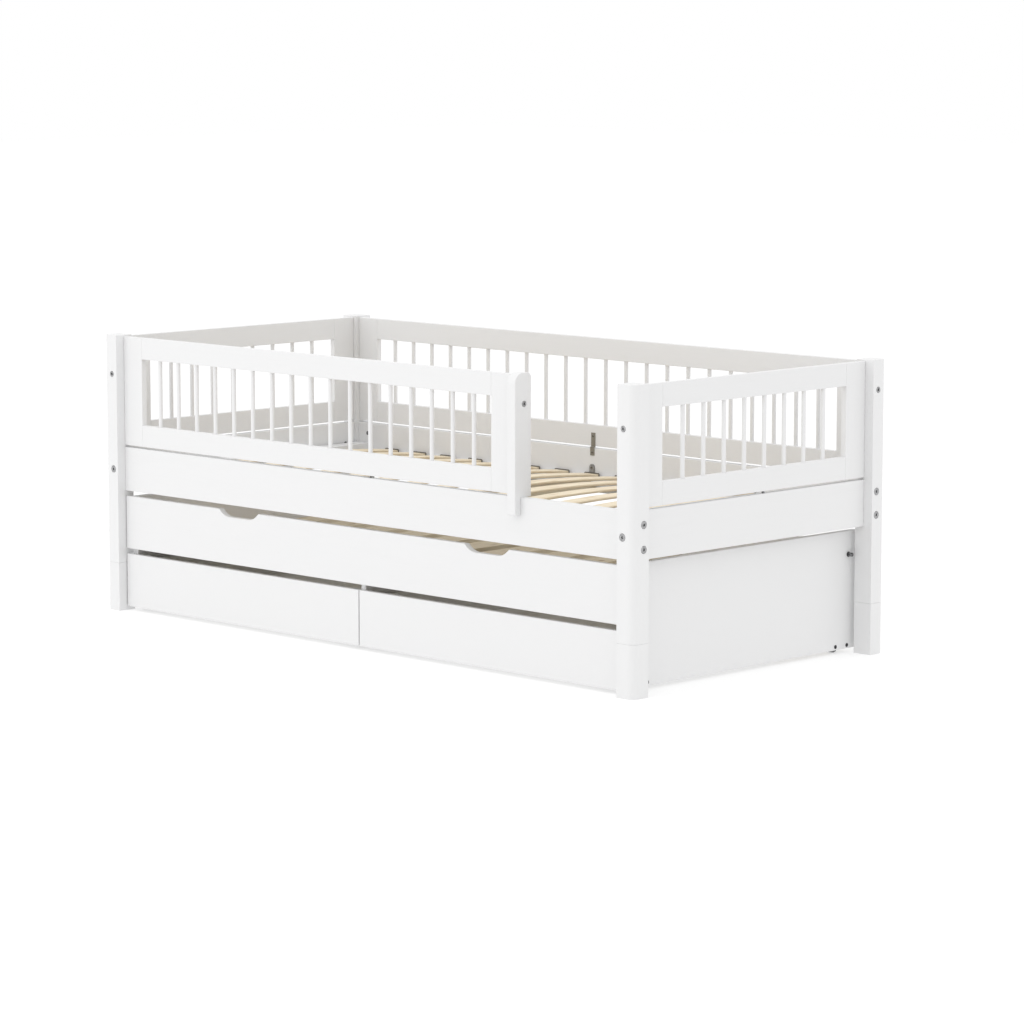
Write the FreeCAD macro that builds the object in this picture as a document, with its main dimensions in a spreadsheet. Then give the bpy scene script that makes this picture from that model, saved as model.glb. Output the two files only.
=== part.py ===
"""Children's single bed with guard rails, a pull-out guest bed and two drawers.

All lengths are millimetres. +Z is up, the front of the bed faces -Y, and the origin is on the
floor in the middle of the four legs. Every size is a cell of the sheet "Sizes", and each piece
of the bed is an object whose sizes and place are bound to those cells.
"""

import FreeCAD, Part
import os
import re
import Sketcher
from math import cos, radians, sin

V = FreeCAD.Vector

# Driving dimensions: alias, millimetres (or a plain count, or degrees), meaning.
DIMENSIONS = [
    ("bed_length", 2100, "overall length over the posts"),
    ("bed_width", 1008, "overall width over the posts"),
    ("bed_height", 807, "top of the posts"),
    ("post_side", 58, "square section of posts and legs"),
    ("post_round", 22, "rounding of the outermost corner of posts and legs"),
    ("post_ease", 2, "eased edge at the top of a post"),
    ("leg_height", 142, "leg extension below the post"),
    ("stud_radius", 6, "steel stud joining leg and post"),
    ("stud_reach", 45, "length of the stud in each of the two"),
    ("dowel_radius", 4, "steel dowel between an end guard and the bed rail below it"),
    ("dowel_reach", 18, "length of the dowel in the rail and in the guard"),
    ("dowel_place", 38, "dowels, behind the middle of the bed"),
    ("edge_ease", 1.5, "eased edges of all boards"),
    ("face_inset", 28, "rails and fronts lie behind the post faces by this"),
    ("rail_thick", 22, "bed rail thickness"),
    ("rail_depth", 128, "bed rail height"),
    ("rail_top", 480, "top edge of the bed rails"),
    ("guard_thick", 18, "guard frame thickness"),
    ("guard_base", 486, "lower edge of the guards"),
    ("guard_crest", 802, "upper edge of the guards"),
    ("guard_board", 62, "height of the guards' rails"),
    ("stile_width", 80, "width of the guards' stiles"),
    ("guard_play", 0.2, "gap between guard and post"),
    ("front_guard_span", 1584, "length of the three-quarter front guard"),
    ("spindle_radius", 6, "round spindles"),
    ("spindle_pitch", 80, "spindle spacing"),
    ("front_spindles", 17, "spindles of the front guard"),
    ("rear_spindles", 22, "spindles of the rear guard"),
    ("end_spindles", 8, "spindles of each end guard"),
    ("spindle_sunk", 12, "spindle length inside each guard rail"),
    ("prop_thick", 29.5, "guard support post, along the bed"),
    ("prop_depth", 60, "guard support post, across the bed"),
    ("prop_inset", 7, "support post front behind the post faces"),
    ("prop_crest", 807, "top of the support post"),
    ("prop_foot", 432, "lower end of the support post"),
    ("prop_front_round", 28, "front rounding at the top of the support post"),
    ("prop_rear_round", 14, "rear rounding at the top of the support post"),
    ("prop_foot_round", 6, "rounding at the foot of the support post"),
    ("bolt_radius", 4, "bed bolt shank"),
    ("bolt_hole", 4.2, "bed bolt clearance hole radius"),
    ("bolt_head", 10, "bed bolt head radius"),
    ("guard_screw_head", 8, "guard screw head radius"),
    ("bolt_head_thick", 3, "bed bolt head thickness"),
    ("head_play", 0.6, "counterbore of a bolt head, wider in radius"),
    ("head_round", 0.8, "rounded rim of a bed bolt head"),
    ("socket_radius", 4, "hexagon socket, centre to corner"),
    ("socket_depth", 2.4, "hexagon socket, depth"),
    ("hole_runout", 8, "bolt holes are deeper than their bolts by this"),
    ("rail_bolt_length", 100, "bed rail bolt, underside of head to tip"),
    ("guard_screw_radius", 3, "guard screw shank"),
    ("guard_bolt_length", 92, "guard screw, underside of head to tip"),
    ("prop_screw_place", 4, "screw of the support post, behind the middle of the guard"),
    ("prop_screw_length", 65, "screw of the support post, underside of head to tip"),
    ("nut_radius", 6, "barrel nut radius"),
    ("nut_length", 18, "barrel nut length"),
    ("nut_offset", 40, "barrel nut centre from the end of a rail"),
    ("nut_play", 0.05, "play of the barrel nuts in a rail and of the bolts in the nuts"),
    ("nut_slot", 1, "half width of the slot in the end of a barrel nut"),
    ("rail_bolt_spread", 64, "height between the two bolts of a long rail"),
    ("side_guard_bolt", 725, "height of the screws into the long guards"),
    ("end_guard_bolt", 693.5, "height of the screws into the end guards"),
    ("slat_count", 15, "slats of the bed base"),
    ("slat_pitch", 120, "slat spacing"),
    ("slat_shift", 6.5, "middle slat to the right of the bed's middle"),
    ("slat_width", 53, "slat width"),
    ("slat_thick", 7, "slat thickness"),
    ("slat_crown", 22, "rise of a slat at its middle"),
    ("slat_end_gap", 6, "slat end to the rail's inner face"),
    ("ledge_top", 400, "top of the ledges that carry the slats"),
    ("ledge_height", 26, "ledge section, height"),
    ("ledge_depth", 30, "ledge section, across the bed"),
    ("end_board_width", 52, "boards across the ends of the slatted base"),
    ("end_board_thick", 19, "boards across the ends of the slatted base"),
    ("wire_radius", 1.5, "wire of the slat stirrups"),
    ("wire_bend", 2.5, "bend radius of the stirrup wire"),
    ("wire_play", 0.5, "stirrup wire to the edges of a slat"),
    ("wire_lift", 0.8, "stirrup wire above the end of a slat"),
    ("beam_thick", 40, "centre cross beam, along the bed"),
    ("beam_height", 38, "centre cross beam, height"),
    ("hanger_thick", 3, "steel of the beam hangers"),
    ("hanger_width", 20, "width of the beam hangers"),
    ("hanger_top", 434, "top of the beam hangers"),
    ("tie_width", 16, "tie plate width"),
    ("front_tie_place", 32, "tie plate of the front guard, to the right of the bed's middle"),
    ("tie_thick", 1.6, "tie plate thickness"),
    ("tie_top", 525, "top of a tie plate, on the guard"),
    ("tie_foot", 459, "foot of a tie plate, on the bed rail"),
    ("tie_crank", 483, "height at which a tie plate is cranked"),
    ("tie_screw_inset", 9, "screws of a tie plate from its ends"),
    ("screw_radius", 2, "small screw shank"),
    ("screw_play", 0.1, "play of a small screw in a steel plate"),
    ("screw_head", 4, "small screw head radius"),
    ("screw_head_thick", 1.5, "small screw head thickness"),
    ("screw_head_round", 0.7, "rounded rim of a small screw head"),
    ("pilot_depth", 12.6, "length of small screws and their pilot holes in wood"),
    ("front_play", 3, "fronts of guest bed and drawers to the posts"),
    ("front_thick", 18, "thickness of the guest bed's and drawers' fronts"),
    ("trundle_top", 337, "top of the guest bed"),
    ("trundle_front_base", 183, "lower edge of the guest bed's front"),
    ("scoop_centre", 495, "finger scoop from the middle of the bed"),
    ("scoop_flat", 80, "flat bottom of a finger scoop"),
    ("scoop_depth", 20, "depth of a finger scoop"),
    ("scoop_round", 55, "round side of a finger scoop"),
    ("scoop_lean", 45, "degrees a finger scoop's sides rise at its lips"),
    ("panel_inset", 14, "guest bed end panels inboard of the posts"),
    ("panel_thick", 18, "end panels and divider of the guest bed"),
    ("panel_base", 12, "lower edge of the end panels"),
    ("trundle_back", 472, "rear face of the guest bed"),
    ("back_base", 60, "lower edge of the guest bed's back board"),
    ("back_top", 300, "upper edge of the guest bed's back board"),
    ("cleat_depth", 25, "cleats under the guest bed's slats"),
    ("board_top", 214, "top of the guest bed's slat boards"),
    ("board_thick", 14, "slat boards of the guest bed"),
    ("board_width", 95, "slat boards of the guest bed"),
    ("board_count", 13, "slat boards of the guest bed"),
    ("board_pitch", 150, "spacing of the slat boards"),
    ("board_play", 1, "ends of boards between two others, to each of them"),
    ("drawer_top", 167, "upper edge of the drawer fronts"),
    ("drawer_base", 12, "lower edge of the drawer fronts"),
    ("drawer_split", 4, "gap between the two drawer fronts"),
    ("drawer_panel_gap", 1, "drawer front to the end panels' front edges"),
    ("box_play", 12.5, "drawer box to the panel beside it"),
    ("box_wall", 12, "drawer box walls"),
    ("box_base", 46, "underside of a drawer box"),
    ("box_top", 150, "top of a drawer box"),
    ("box_depth", 640, "drawer box, front to back"),
    ("bottom_thick", 5, "drawer bottom"),
    ("bottom_rise", 8, "drawer bottom above the lower edge of its walls"),
    ("runner_height", 9, "runner strips"),
    ("runner_thick", 10, "runner strips, sideways"),
    ("runner_level", 92, "where fixed and moving runner strips meet"),
    ("runner_play", 0.5, "gap between fixed and moving strips"),
    ("runner_length", 600, "length of the fixed runner strips"),
    ("runner_start", 10, "fixed runner strips behind the front edge of the panels"),
    ("wheel_radius", 18, "castor wheel radius"),
    ("wheel_width", 16, "castor wheel width"),
    ("wheel_round", 3, "rounded tread edges"),
    ("wheel_bore", 4.05, "bore of the castor wheel"),
    ("axle_radius", 4, "castor axle"),
    ("axle_head", 7, "castor axle head radius"),
    ("axle_head_thick", 2, "castor axle head thickness"),
    ("axle_gap", 0.5, "castor wheel to the head of its axle"),
    ("wheel_offset", 15, "middle of the wheel from the panel's face"),
    ("wheel_setback", 63, "castors from the front and rear ends of the panels"),
    ("plate_length", 64, "castor plate"),
    ("plate_height", 30, "castor plate"),
    ("plate_thick", 3, "castor plate"),
    ("plate_base", 8, "lower edge of a castor plate"),
    ("castor_screw_spread", 48, "distance between a castor's two screws"),
    ("castor_screw_level", 21.5, "height of the castor screws"),
    ("castor_screw_head", 5.5, "castor screw head radius"),
    ("pin_radius", 5.5, "stop pins"),
    ("pin_length", 15, "stop pins, proud of the end panels"),
    ("pin_collar", 7, "collar of a stop pin, radius"),
    ("pin_collar_thick", 3, "collar of a stop pin, thickness"),
    ("pin_level", 272, "height of the stop pins"),
    ("pin_place", 435, "stop pins, behind the middle of the bed"),
]

# Places worked out from the driving dimensions, used by many pieces.
PLACES = [
    ("post_inner_x", "=bed_length / 2 - post_side", "inner face of the posts, along the bed"),
    ("post_inner_y", "=bed_width / 2 - post_side", "inner face of the posts, across the bed"),
    ("face_x", "=bed_length / 2 - face_inset", "outer face of the end rails"),
    ("face_y", "=bed_width / 2 - face_inset", "outer face of the long rails and fronts"),
    ("rail_inner_x", "=face_x - rail_thick", "inner face of the end rails"),
    ("rail_inner_y", "=face_y - rail_thick", "inner face of the long rails"),
    ("rail_middle", "=rail_top - rail_depth / 2", "middle height of the bed rails"),
    ("prop_x", "=-post_inner_x + guard_play + front_guard_span", "near face of the support post"),
    ("front_back_y", "=face_y - front_thick", "back face of the guest bed's front"),
    ("front_end_x", "=post_inner_x - front_play", "ends of the fronts"),
    ("panel_outer_x", "=post_inner_x - panel_inset", "outer face of the end panels"),
    ("panel_inner_x", "=panel_outer_x - panel_thick", "inner face of the end panels"),
    ("box_outer_x", "=panel_inner_x - box_play", "drawer box, towards the end panel"),
    ("box_inner_x", "=panel_thick / 2 + box_play", "drawer box, towards the divider"),
    ("board_base", "=board_top - board_thick", "underside of the guest bed's slat boards"),
    ("wheel_front_y", "=-front_back_y + wheel_setback", "front castors"),
    ("wheel_rear_y", "=trundle_back - wheel_setback", "rear castors"),
]

ALIASES = [alias for alias, _, _ in DIMENSIONS + PLACES]
CELL_NAME = re.compile(r"\b(" + "|".join(ALIASES) + r")\b")

SIDES = {"left": -1, "right": 1}
DEPTHS = {"front": -1, "rear": 1}

doc = FreeCAD.newDocument("guard_rail_bed")
sheet = doc.addObject("Spreadsheet::Sheet", "Sizes")
nodes = []


# ---------------------------------------------------------------- sheet and binding


def fill_sheet():
    for row, (alias, content, meaning) in enumerate(DIMENSIONS + PLACES, start=1):
        sheet.set(f"A{row}", alias)
        sheet.set(f"B{row}", str(content))
        sheet.set(f"C{row}", meaning)
        sheet.setAlias(f"B{row}", alias)
    doc.recompute()


def size(alias):
    return float(sheet.get(alias))


def bind(thing, prop, formula):
    """Bind a property to a formula in the sheet's aliases."""
    thing.setExpression(prop, CELL_NAME.sub(r"Sizes.\1", formula))


def place(thing, x="0", y="0", z="0"):
    for letter, formula in zip("xyz", (x, y, z)):
        bind(thing, f"Placement.Base.{letter}", formula)


def node(thing, label):
    """Make an object one sub-part of the bed, under its own label."""
    thing.Label = label
    nodes.append(thing)
    return thing


def mirrored(side, low, high):
    """A range of formulas on the positive side, mirrored where side is -1."""
    if side > 0:
        return low, high
    return f"-({high})", f"-({low})"


# ---------------------------------------------------------------- shapes used many times


def box(label, x_range, y_range, z_range):
    block = doc.addObject("Part::Box", label)
    for prop, (low, high) in zip(("Length", "Width", "Height"), (x_range, y_range, z_range)):
        bind(block, prop, f"({high}) - ({low})")
    place(block, x_range[0], y_range[0], z_range[0])
    return block


def board(label, x_range, y_range, z_range):
    """A board with all its edges eased."""
    block = box(label + "_blank", x_range, y_range, z_range)
    doc.recompute()
    eased = doc.addObject("Part::Fillet", label + "_eased")
    eased.Base = block
    ease = size("edge_ease")
    eased.Edges = [(number, ease, ease) for number in range(1, 13)]
    return eased


def rod(label, start, direction, radius, length):
    """A cylinder from a start point of three formulas, along a unit direction."""
    cylinder = doc.addObject("Part::Cylinder", label)
    bind(cylinder, "Radius", radius)
    bind(cylinder, "Height", length)
    cylinder.Placement.Rotation = FreeCAD.Rotation(V(0, 0, 1), V(*direction))
    place(cylinder, *start)
    return cylinder


def group(label, members):
    compound = doc.addObject("Part::Compound", label)
    compound.Links = members
    return compound


def cut(label, base, tools):
    """The base less all the tools, which may cross one another."""
    if not tools:
        return base
    tool = tools[0]
    if len(tools) > 1:
        tool = doc.addObject("Part::MultiFuse", label + "_tools")
        tool.Shapes = tools
    result = doc.addObject("Part::Cut", label + "_cut")
    result.Base = base
    result.Tool = tool
    return result


def fused(label, members):
    """One solid of several that touch, without the seams between them."""
    fusion = doc.addObject("Part::MultiFuse", label)
    fusion.Shapes = members
    fusion.Refine = True
    return fusion


def new_body(label):
    return doc.addObject("PartDesign::Body", label)


def new_sketch(body, name, role, lift="0"):
    """A sketch on one of the body's own origin planes, lifted along the plane's normal."""
    sketch = body.newObject("Sketcher::SketchObject", name)
    planes = [item for item in body.Origin.OriginFeatures if item.Role == role]
    sketch.AttachmentSupport = [(planes[0], "")]
    sketch.MapMode = "FlatFace"
    bind(sketch, "AttachmentOffset.Base.z", lift)
    return sketch


def polygon(sketch, corners, guess):
    """A closed outline whose corners are pairs of formulas, each fixed from the origin."""
    count = len(corners)
    for index in range(count):
        start = V(*guess[index], 0)
        end = V(*guess[(index + 1) % count], 0)
        sketch.addGeometry(Part.LineSegment(start, end), False)
    for index in range(count):
        sketch.addConstraint(Sketcher.Constraint("Coincident", index, 2, (index + 1) % count, 1))
    for index, corner in enumerate(corners):
        for kind, formula, number in zip(("DistanceX", "DistanceY"), corner, guess[index]):
            datum = sketch.addConstraint(Sketcher.Constraint(kind, -1, 1, index, 1, number))
            bind(sketch, f"Constraints[{datum}]", formula)


def pad(body, sketch, length, name):
    feature = body.newObject("PartDesign::Pad", name)
    feature.Profile = sketch
    bind(feature, "Length", length)
    body.Tip = feature
    doc.recompute()
    return feature


def round_edges(body, base, radius, name, wanted):
    """Round the edges of a feature whose middle point and direction the test wants."""
    names = []
    for number, edge in enumerate(base.Shape.Edges, start=1):
        middle = edge.valueAt((edge.FirstParameter + edge.LastParameter) / 2)
        if wanted(edge, middle):
            names.append(f"Edge{number}")
    rounding = body.newObject("PartDesign::Fillet", name)
    rounding.Base = (base, names)
    bind(rounding, "Radius", radius)
    body.Tip = rounding
    doc.recompute()
    return rounding


def runs_along(edge, axis):
    if edge.Curve.TypeId != "Part::GeomLine":
        return False
    return abs(edge.tangentAt(edge.FirstParameter).dot(axis)) > 0.999


def copies(label, shape, placements):
    """Separate copies of one small piece."""
    feature = doc.addObject("Part::Feature", label)
    feature.Shape = Part.makeCompound([shape.transformed(at.toMatrix()) for at in placements])
    return feature


# ---------------------------------------------------------------- fastenings

# Each fastening starts at the outer face of a post and runs inwards along X or Y.


def fastening_points():
    """Bed rail bolts and guard screws: kind, direction, and start as three formulas."""
    points = []
    for side in SIDES.values():
        for depth in DEPTHS.values():
            corner = (side, depth)
            end_x = f"{side} * bed_length / 2"
            end_y = f"{depth} * bed_width / 2"
            long_rail_y = f"{depth} * (face_y - rail_thick / 2)"
            for turn in (-1, 1):
                level = f"rail_middle + {turn} * rail_bolt_spread / 2"
                points.append(("rail", corner, (-side, 0, 0), (end_x, long_rail_y, level)))
            end_rail_x = f"{side} * (face_x - rail_thick / 2)"
            points.append(("rail", corner, (0, -depth, 0), (end_rail_x, end_y, "rail_middle")))
            end_guard_x = f"{side} * (face_x - guard_thick / 2)"
            points.append(("guard", corner, (0, -depth, 0), (end_guard_x, end_y, "end_guard_bolt")))
            if corner != (1, -1):
                long_guard_y = f"{depth} * (face_y - guard_thick / 2)"
                start = (end_x, long_guard_y, "side_guard_bolt")
                points.append(("guard", corner, (-side, 0, 0), start))
    return points


FASTENINGS = fastening_points()
HEADS = {"rail": "bolt_head", "guard": "guard_screw_head"}
bolt_places = {}
nut_places = {}


def step_in(start, direction, distance):
    """A start point of three formulas, moved along a unit direction."""
    return tuple(
        f"{origin} + {part} * ({distance})" if part else origin
        for origin, part in zip(start, direction)
    )


def bolt_holes(label, corner):
    """Through holes and counterbores of one post."""
    tools = []
    for index, (kind, at, direction, start) in enumerate(FASTENINGS):
        if at == corner:
            hole = rod(f"{label}_hole_{index}", start, direction, "bolt_hole", "post_side")
            seat = rod(f"{label}_seat_{index}", start, direction, HEADS[kind] + " + head_play",
                       "bolt_head_thick")
            bolt_places[index] = hole
            tools += [hole, seat]
    return tools


def entry_holes(label, kind, choose, reach, radius):
    """Holes in the ends of a rail or stile for the fastenings that choose() picks."""
    tools = []
    for index, (what, corner, direction, start) in enumerate(FASTENINGS):
        if what == kind and choose(corner, direction):
            begin = step_in(start, direction, "post_side")
            tools.append(rod(f"{label}_entry_{index}", begin, direction, radius, reach))
    return tools


def nut_holes(label, choose):
    """Cross holes for the barrel nuts, open to the inner face of a bed rail."""
    tools = []
    for index, (what, corner, direction, start) in enumerate(FASTENINGS):
        if what == "rail" and choose(corner, direction):
            centre = step_in(start, direction, "post_side + nut_offset")
            inwards = inward_normal(corner, direction)
            begin = step_in(centre, inwards, "rail_thick / 2")
            outwards = tuple(-part for part in inwards)
            hole = rod(f"{label}_nut_{index}", begin, outwards, "nut_radius + nut_play", "nut_length")
            nut_places[index] = hole
            tools.append(hole)
    return tools


def inward_normal(corner, direction):
    """From the outer face of the fastened rail towards the middle of the bed."""
    side, depth = corner
    if direction[0]:
        return (0, -depth, 0)
    return (-side, 0, 0)


def bolt_shape(head_radius, shank_radius, length):
    """A bolt along +Z, the outer face of its round head at zero, with a hexagon socket."""
    head_thick = size("bolt_head_thick")
    head = Part.makeCylinder(head_radius, head_thick)
    rim = [edge for edge in head.Edges if abs(edge.BoundBox.ZMax) < 0.01]
    head = head.makeFillet(size("head_round"), rim)
    shank = Part.makeCylinder(shank_radius, length, V(0, 0, head_thick))
    socket_radius = size("socket_radius")
    corners = []
    for turn in range(7):
        angle = radians(60 * turn)
        corners.append(V(socket_radius * cos(angle), socket_radius * sin(angle), 0))
    socket = Part.Face(Part.makePolygon(corners)).extrude(V(0, 0, size("socket_depth")))
    return head.fuse(shank).removeSplitter().cut(socket)


def bolts(label, kind, radius, length):
    """All fastenings of one kind, each in its own hole."""
    places = [hole.Placement for index, hole in bolt_places.items() if FASTENINGS[index][0] == kind]
    return copies(label, bolt_shape(size(HEADS[kind]), size(radius), size(length)), places)


def guard_screws(prop_seat):
    """The screws through the posts, and the shorter one through the support post."""
    through_posts = bolts("post_screws", "guard", "guard_screw_radius", "guard_bolt_length")
    shape = bolt_shape(size("guard_screw_head"), size("guard_screw_radius"),
                       size("prop_screw_length"))
    through_prop = copies("prop_screw", shape, [prop_seat.Placement])
    node(group("guard_screw_set", [through_posts, through_prop]), "guard_screws")


def barrel_nuts(label):
    """Barrel nuts in the bed rails, cross-drilled for their bolts."""
    shape = Part.makeCylinder(size("nut_radius"), size("nut_length"))
    middle = size("rail_thick") / 2
    reach = 2 * size("nut_radius")
    bore = size("bolt_radius") + size("nut_play")
    across = Part.makeCylinder(bore, 2 * reach, V(-reach, 0, middle), V(1, 0, 0))
    slot = Part.makeCylinder(size("nut_slot"), 2 * reach, V(-reach, 0, 0), V(1, 0, 0))
    drilled = shape.cut(across).cut(slot)
    placements = []
    for index, hole in nut_places.items():
        run = V(*FASTENINGS[index][2])
        axis = hole.Placement.Rotation.multVec(V(0, 0, 1))
        turn = FreeCAD.Rotation(run, axis.cross(run), axis, "ZXY")
        placements.append(FreeCAD.Placement(hole.Placement.Base, turn))
    return copies(label, drilled, placements)


# ---------------------------------------------------------------- posts and legs


def square_post(label, side, depth, base, length):
    """An upright whose outermost corner is rounded, seen from above."""
    body = new_body(label + "_body")
    sketch = new_sketch(body, label + "_section", "XY_Plane")
    half = size("post_side") / 2
    signs = [(-1, -1), (1, -1), (1, 1), (-1, 1)]
    corners = [(f"{x} * post_side / 2", f"{y} * post_side / 2") for x, y in signs]
    polygon(sketch, corners, [(x * half, y * half) for x, y in signs])
    upright = pad(body, sketch, length, label + "_pad")
    outer = V(side * half, depth * half, 0)

    def outermost(edge, middle):
        return runs_along(edge, V(0, 0, 1)) and (V(middle.x, middle.y, 0) - outer).Length < 0.1

    rounded = round_edges(body, upright, "post_round", label + "_corner", outermost)
    top = rounded.Shape.BoundBox.ZMax

    def at_top(edge, middle):
        return abs(edge.BoundBox.ZMin - top) < 0.01 and abs(middle.z - top) < 0.01

    round_edges(body, rounded, "post_ease", label + "_top", at_top)
    centre_x = f"{side} * (bed_length - post_side) / 2"
    centre_y = f"{depth} * (bed_width - post_side) / 2"
    place(body, centre_x, centre_y, base)
    return body, (centre_x, centre_y)


def posts_and_legs():
    legs = []
    studs = []
    for depth_name, depth in DEPTHS.items():
        for side_name, side in SIDES.items():
            name = f"{depth_name}_{side_name}"
            label = "post_" + name
            body, centre = square_post(label, side, depth, "leg_height", "bed_height - leg_height")
            joint = (*centre, "leg_height")
            socket = rod(label + "_socket", joint, (0, 0, 1), "stud_radius", "stud_reach")
            tools = bolt_holes(label, (side, depth)) + [socket]
            node(cut(label, body, tools), label)

            leg_label = "leg_" + name
            leg, _ = square_post(leg_label, side, depth, "0", "leg_height")
            hole = rod(leg_label + "_socket", joint, (0, 0, -1), "stud_radius", "stud_reach")
            legs.append(cut(leg_label, leg, [hole]))
            low_end = (*centre, "leg_height - stud_reach")
            studs.append(rod(name + "_stud", low_end, (0, 0, 1), "stud_radius", "2 * stud_reach"))
    node(group("legs", legs), "leg_extensions")
    dowels = [guard_dowel(f"{side_name}_dowel", side) for side_name, side in SIDES.items()]
    node(group("studs", studs + dowels), "frame_studs")


def guard_dowel(label, side):
    """The dowel that keeps an end guard in line with the bed rail below it."""
    foot = (f"{side} * (face_x - guard_thick / 2)", "dowel_place", "rail_top - dowel_reach")
    return rod(label, foot, (0, 0, 1), "dowel_radius", "guard_base - rail_top + 2 * dowel_reach")


# ---------------------------------------------------------------- bed rails


# Where the tie plate of each long guard stands along the bed.
TIE_PLACES = {"front": "front_tie_place", "rear": "0"}


def pilot(label, along, depth, inner_face, level):
    """A screw's pilot hole in the inner face of a front or rear board."""
    start = (along, f"{depth} * ({inner_face})", level)
    return rod(label, start, (0, depth, 0), "screw_radius", "pilot_depth")


def bed_rails():
    height = ("rail_top - rail_depth", "rail_top")
    reach = "rail_bolt_length - post_side + hole_runout"
    for depth_name, depth in DEPTHS.items():
        label = f"bed_rail_{depth_name}"
        span = ("-post_inner_x", "post_inner_x")
        blank = board(label, span, mirrored(depth, "rail_inner_y", "face_y"), height)

        def chosen(corner, direction):
            return corner[1] == depth and direction[0]

        tools = entry_holes(label, "rail", chosen, reach, "bolt_hole")
        tie_level = "tie_foot + tie_screw_inset"
        hanger_level = "hanger_top - hanger_width / 2"
        tie_place = TIE_PLACES[depth_name]
        tools.append(pilot(label + "_tie", tie_place, depth, "rail_inner_y", tie_level))
        tools.append(pilot(label + "_hanger", "0", depth, "rail_inner_y", hanger_level))
        node(cut(label, blank, tools + nut_holes(label, chosen)), label)
    for side_name, side in SIDES.items():
        label = f"bed_rail_{side_name}"
        span = ("-post_inner_y", "post_inner_y")
        blank = board(label, mirrored(side, "rail_inner_x", "face_x"), span, height)

        def chosen(corner, direction):
            return corner[0] == side and direction[1]

        tools = entry_holes(label, "rail", chosen, reach, "bolt_hole")
        tools.append(guard_dowel(label + "_dowel_hole", side))
        node(cut(label, blank, tools + nut_holes(label, chosen)), label)


# ---------------------------------------------------------------- slatted base


def slat_ledges():
    ledges = []
    height = ("ledge_top - ledge_height", "ledge_top")
    for depth_name, depth in DEPTHS.items():
        across = mirrored(depth, "rail_inner_y - ledge_depth", "rail_inner_y")
        for side_name, side in SIDES.items():
            along = mirrored(side, "beam_thick / 2 + 1", "post_inner_x")
            ledges.append(board(f"ledge_{depth_name}_{side_name}", along, across, height))
    node(group("ledges", ledges), "slat_ledges")


def bowed_slats():
    """Slats that rise in an arc between their ends, repeated along the bed."""
    body = new_body("slats_body")
    sketch = new_sketch(body, "slat_arc", "YZ_Plane", "-slat_width / 2")
    reach = size("rail_inner_y") - size("slat_end_gap")
    crown = size("slat_crown")
    radius = (reach ** 2 + crown ** 2) / (2 * crown)
    thick = size("slat_thick")
    arcs = []
    for lift in (0, thick):
        arc = Part.Arc(V(-reach, lift, 0), V(0, crown + lift, 0), V(reach, lift, 0))
        arcs.append(sketch.addGeometry(arc, False))
    ends = []
    for sign in (-1, 1):
        line = Part.LineSegment(V(sign * reach, 0, 0), V(sign * reach, thick, 0))
        ends.append(sketch.addGeometry(line, False))
    for sign, end in zip((-1, 1), ends):
        for arc, line_end in zip(arcs, (1, 2)):
            first = sketch.getPoint(arc, 1)
            arc_end = 1 if (first.x < 0) == (sign < 0) else 2
            sketch.addConstraint(Sketcher.Constraint("Coincident", arc, arc_end, end, line_end))
        sketch.addConstraint(Sketcher.Constraint("Vertical", end))
    half = "(rail_inner_y - slat_end_gap)"
    rise = sketch.addConstraint(Sketcher.Constraint("DistanceY", ends[0], 1, ends[0], 2, thick))
    bind(sketch, f"Constraints[{rise}]", "slat_thick")
    for end, sign in zip(ends, (-1, 1)):
        datum = sketch.addConstraint(Sketcher.Constraint("DistanceX", -1, 1, end, 1, sign * reach))
        bind(sketch, f"Constraints[{datum}]", f"{sign} * {half}")
        sketch.addConstraint(Sketcher.Constraint("PointOnObject", end, 1, -1))
    for arc in arcs:
        datum = sketch.addConstraint(Sketcher.Constraint("Radius", arc, radius))
        bind(sketch, f"Constraints[{datum}]", f"({half} ^ 2 + slat_crown ^ 2) / (2 * slat_crown)")
    slat = pad(body, sketch, "slat_width", "slat_pad")
    row = body.newObject("PartDesign::LinearPattern", "slat_row")
    row.Originals = [slat]
    row.Direction = (sketch, ["N_Axis"])
    bind(row, "Length", "slat_pitch * (slat_count - 1)")
    bind(row, "Occurrences", "slat_count")
    body.Tip = row
    place(body, "slat_shift - slat_pitch * (slat_count - 1) / 2", "0", "ledge_top")
    doc.recompute()
    node(body, "bed_slats")


def end_boards():
    """The flat boards on the ledges at the head and the foot of the slatted base."""
    boards = []
    across = ("board_play - rail_inner_y", "rail_inner_y - board_play")
    height = ("ledge_top", "ledge_top + end_board_thick")
    for side_name, side in SIDES.items():
        outer = "post_inner_x - board_play"
        along = mirrored(side, f"{outer} - end_board_width", outer)
        boards.append(board(f"end_board_{side_name}", along, across, height))
    node(group("end_boards", boards), "slat_end_boards")


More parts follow.
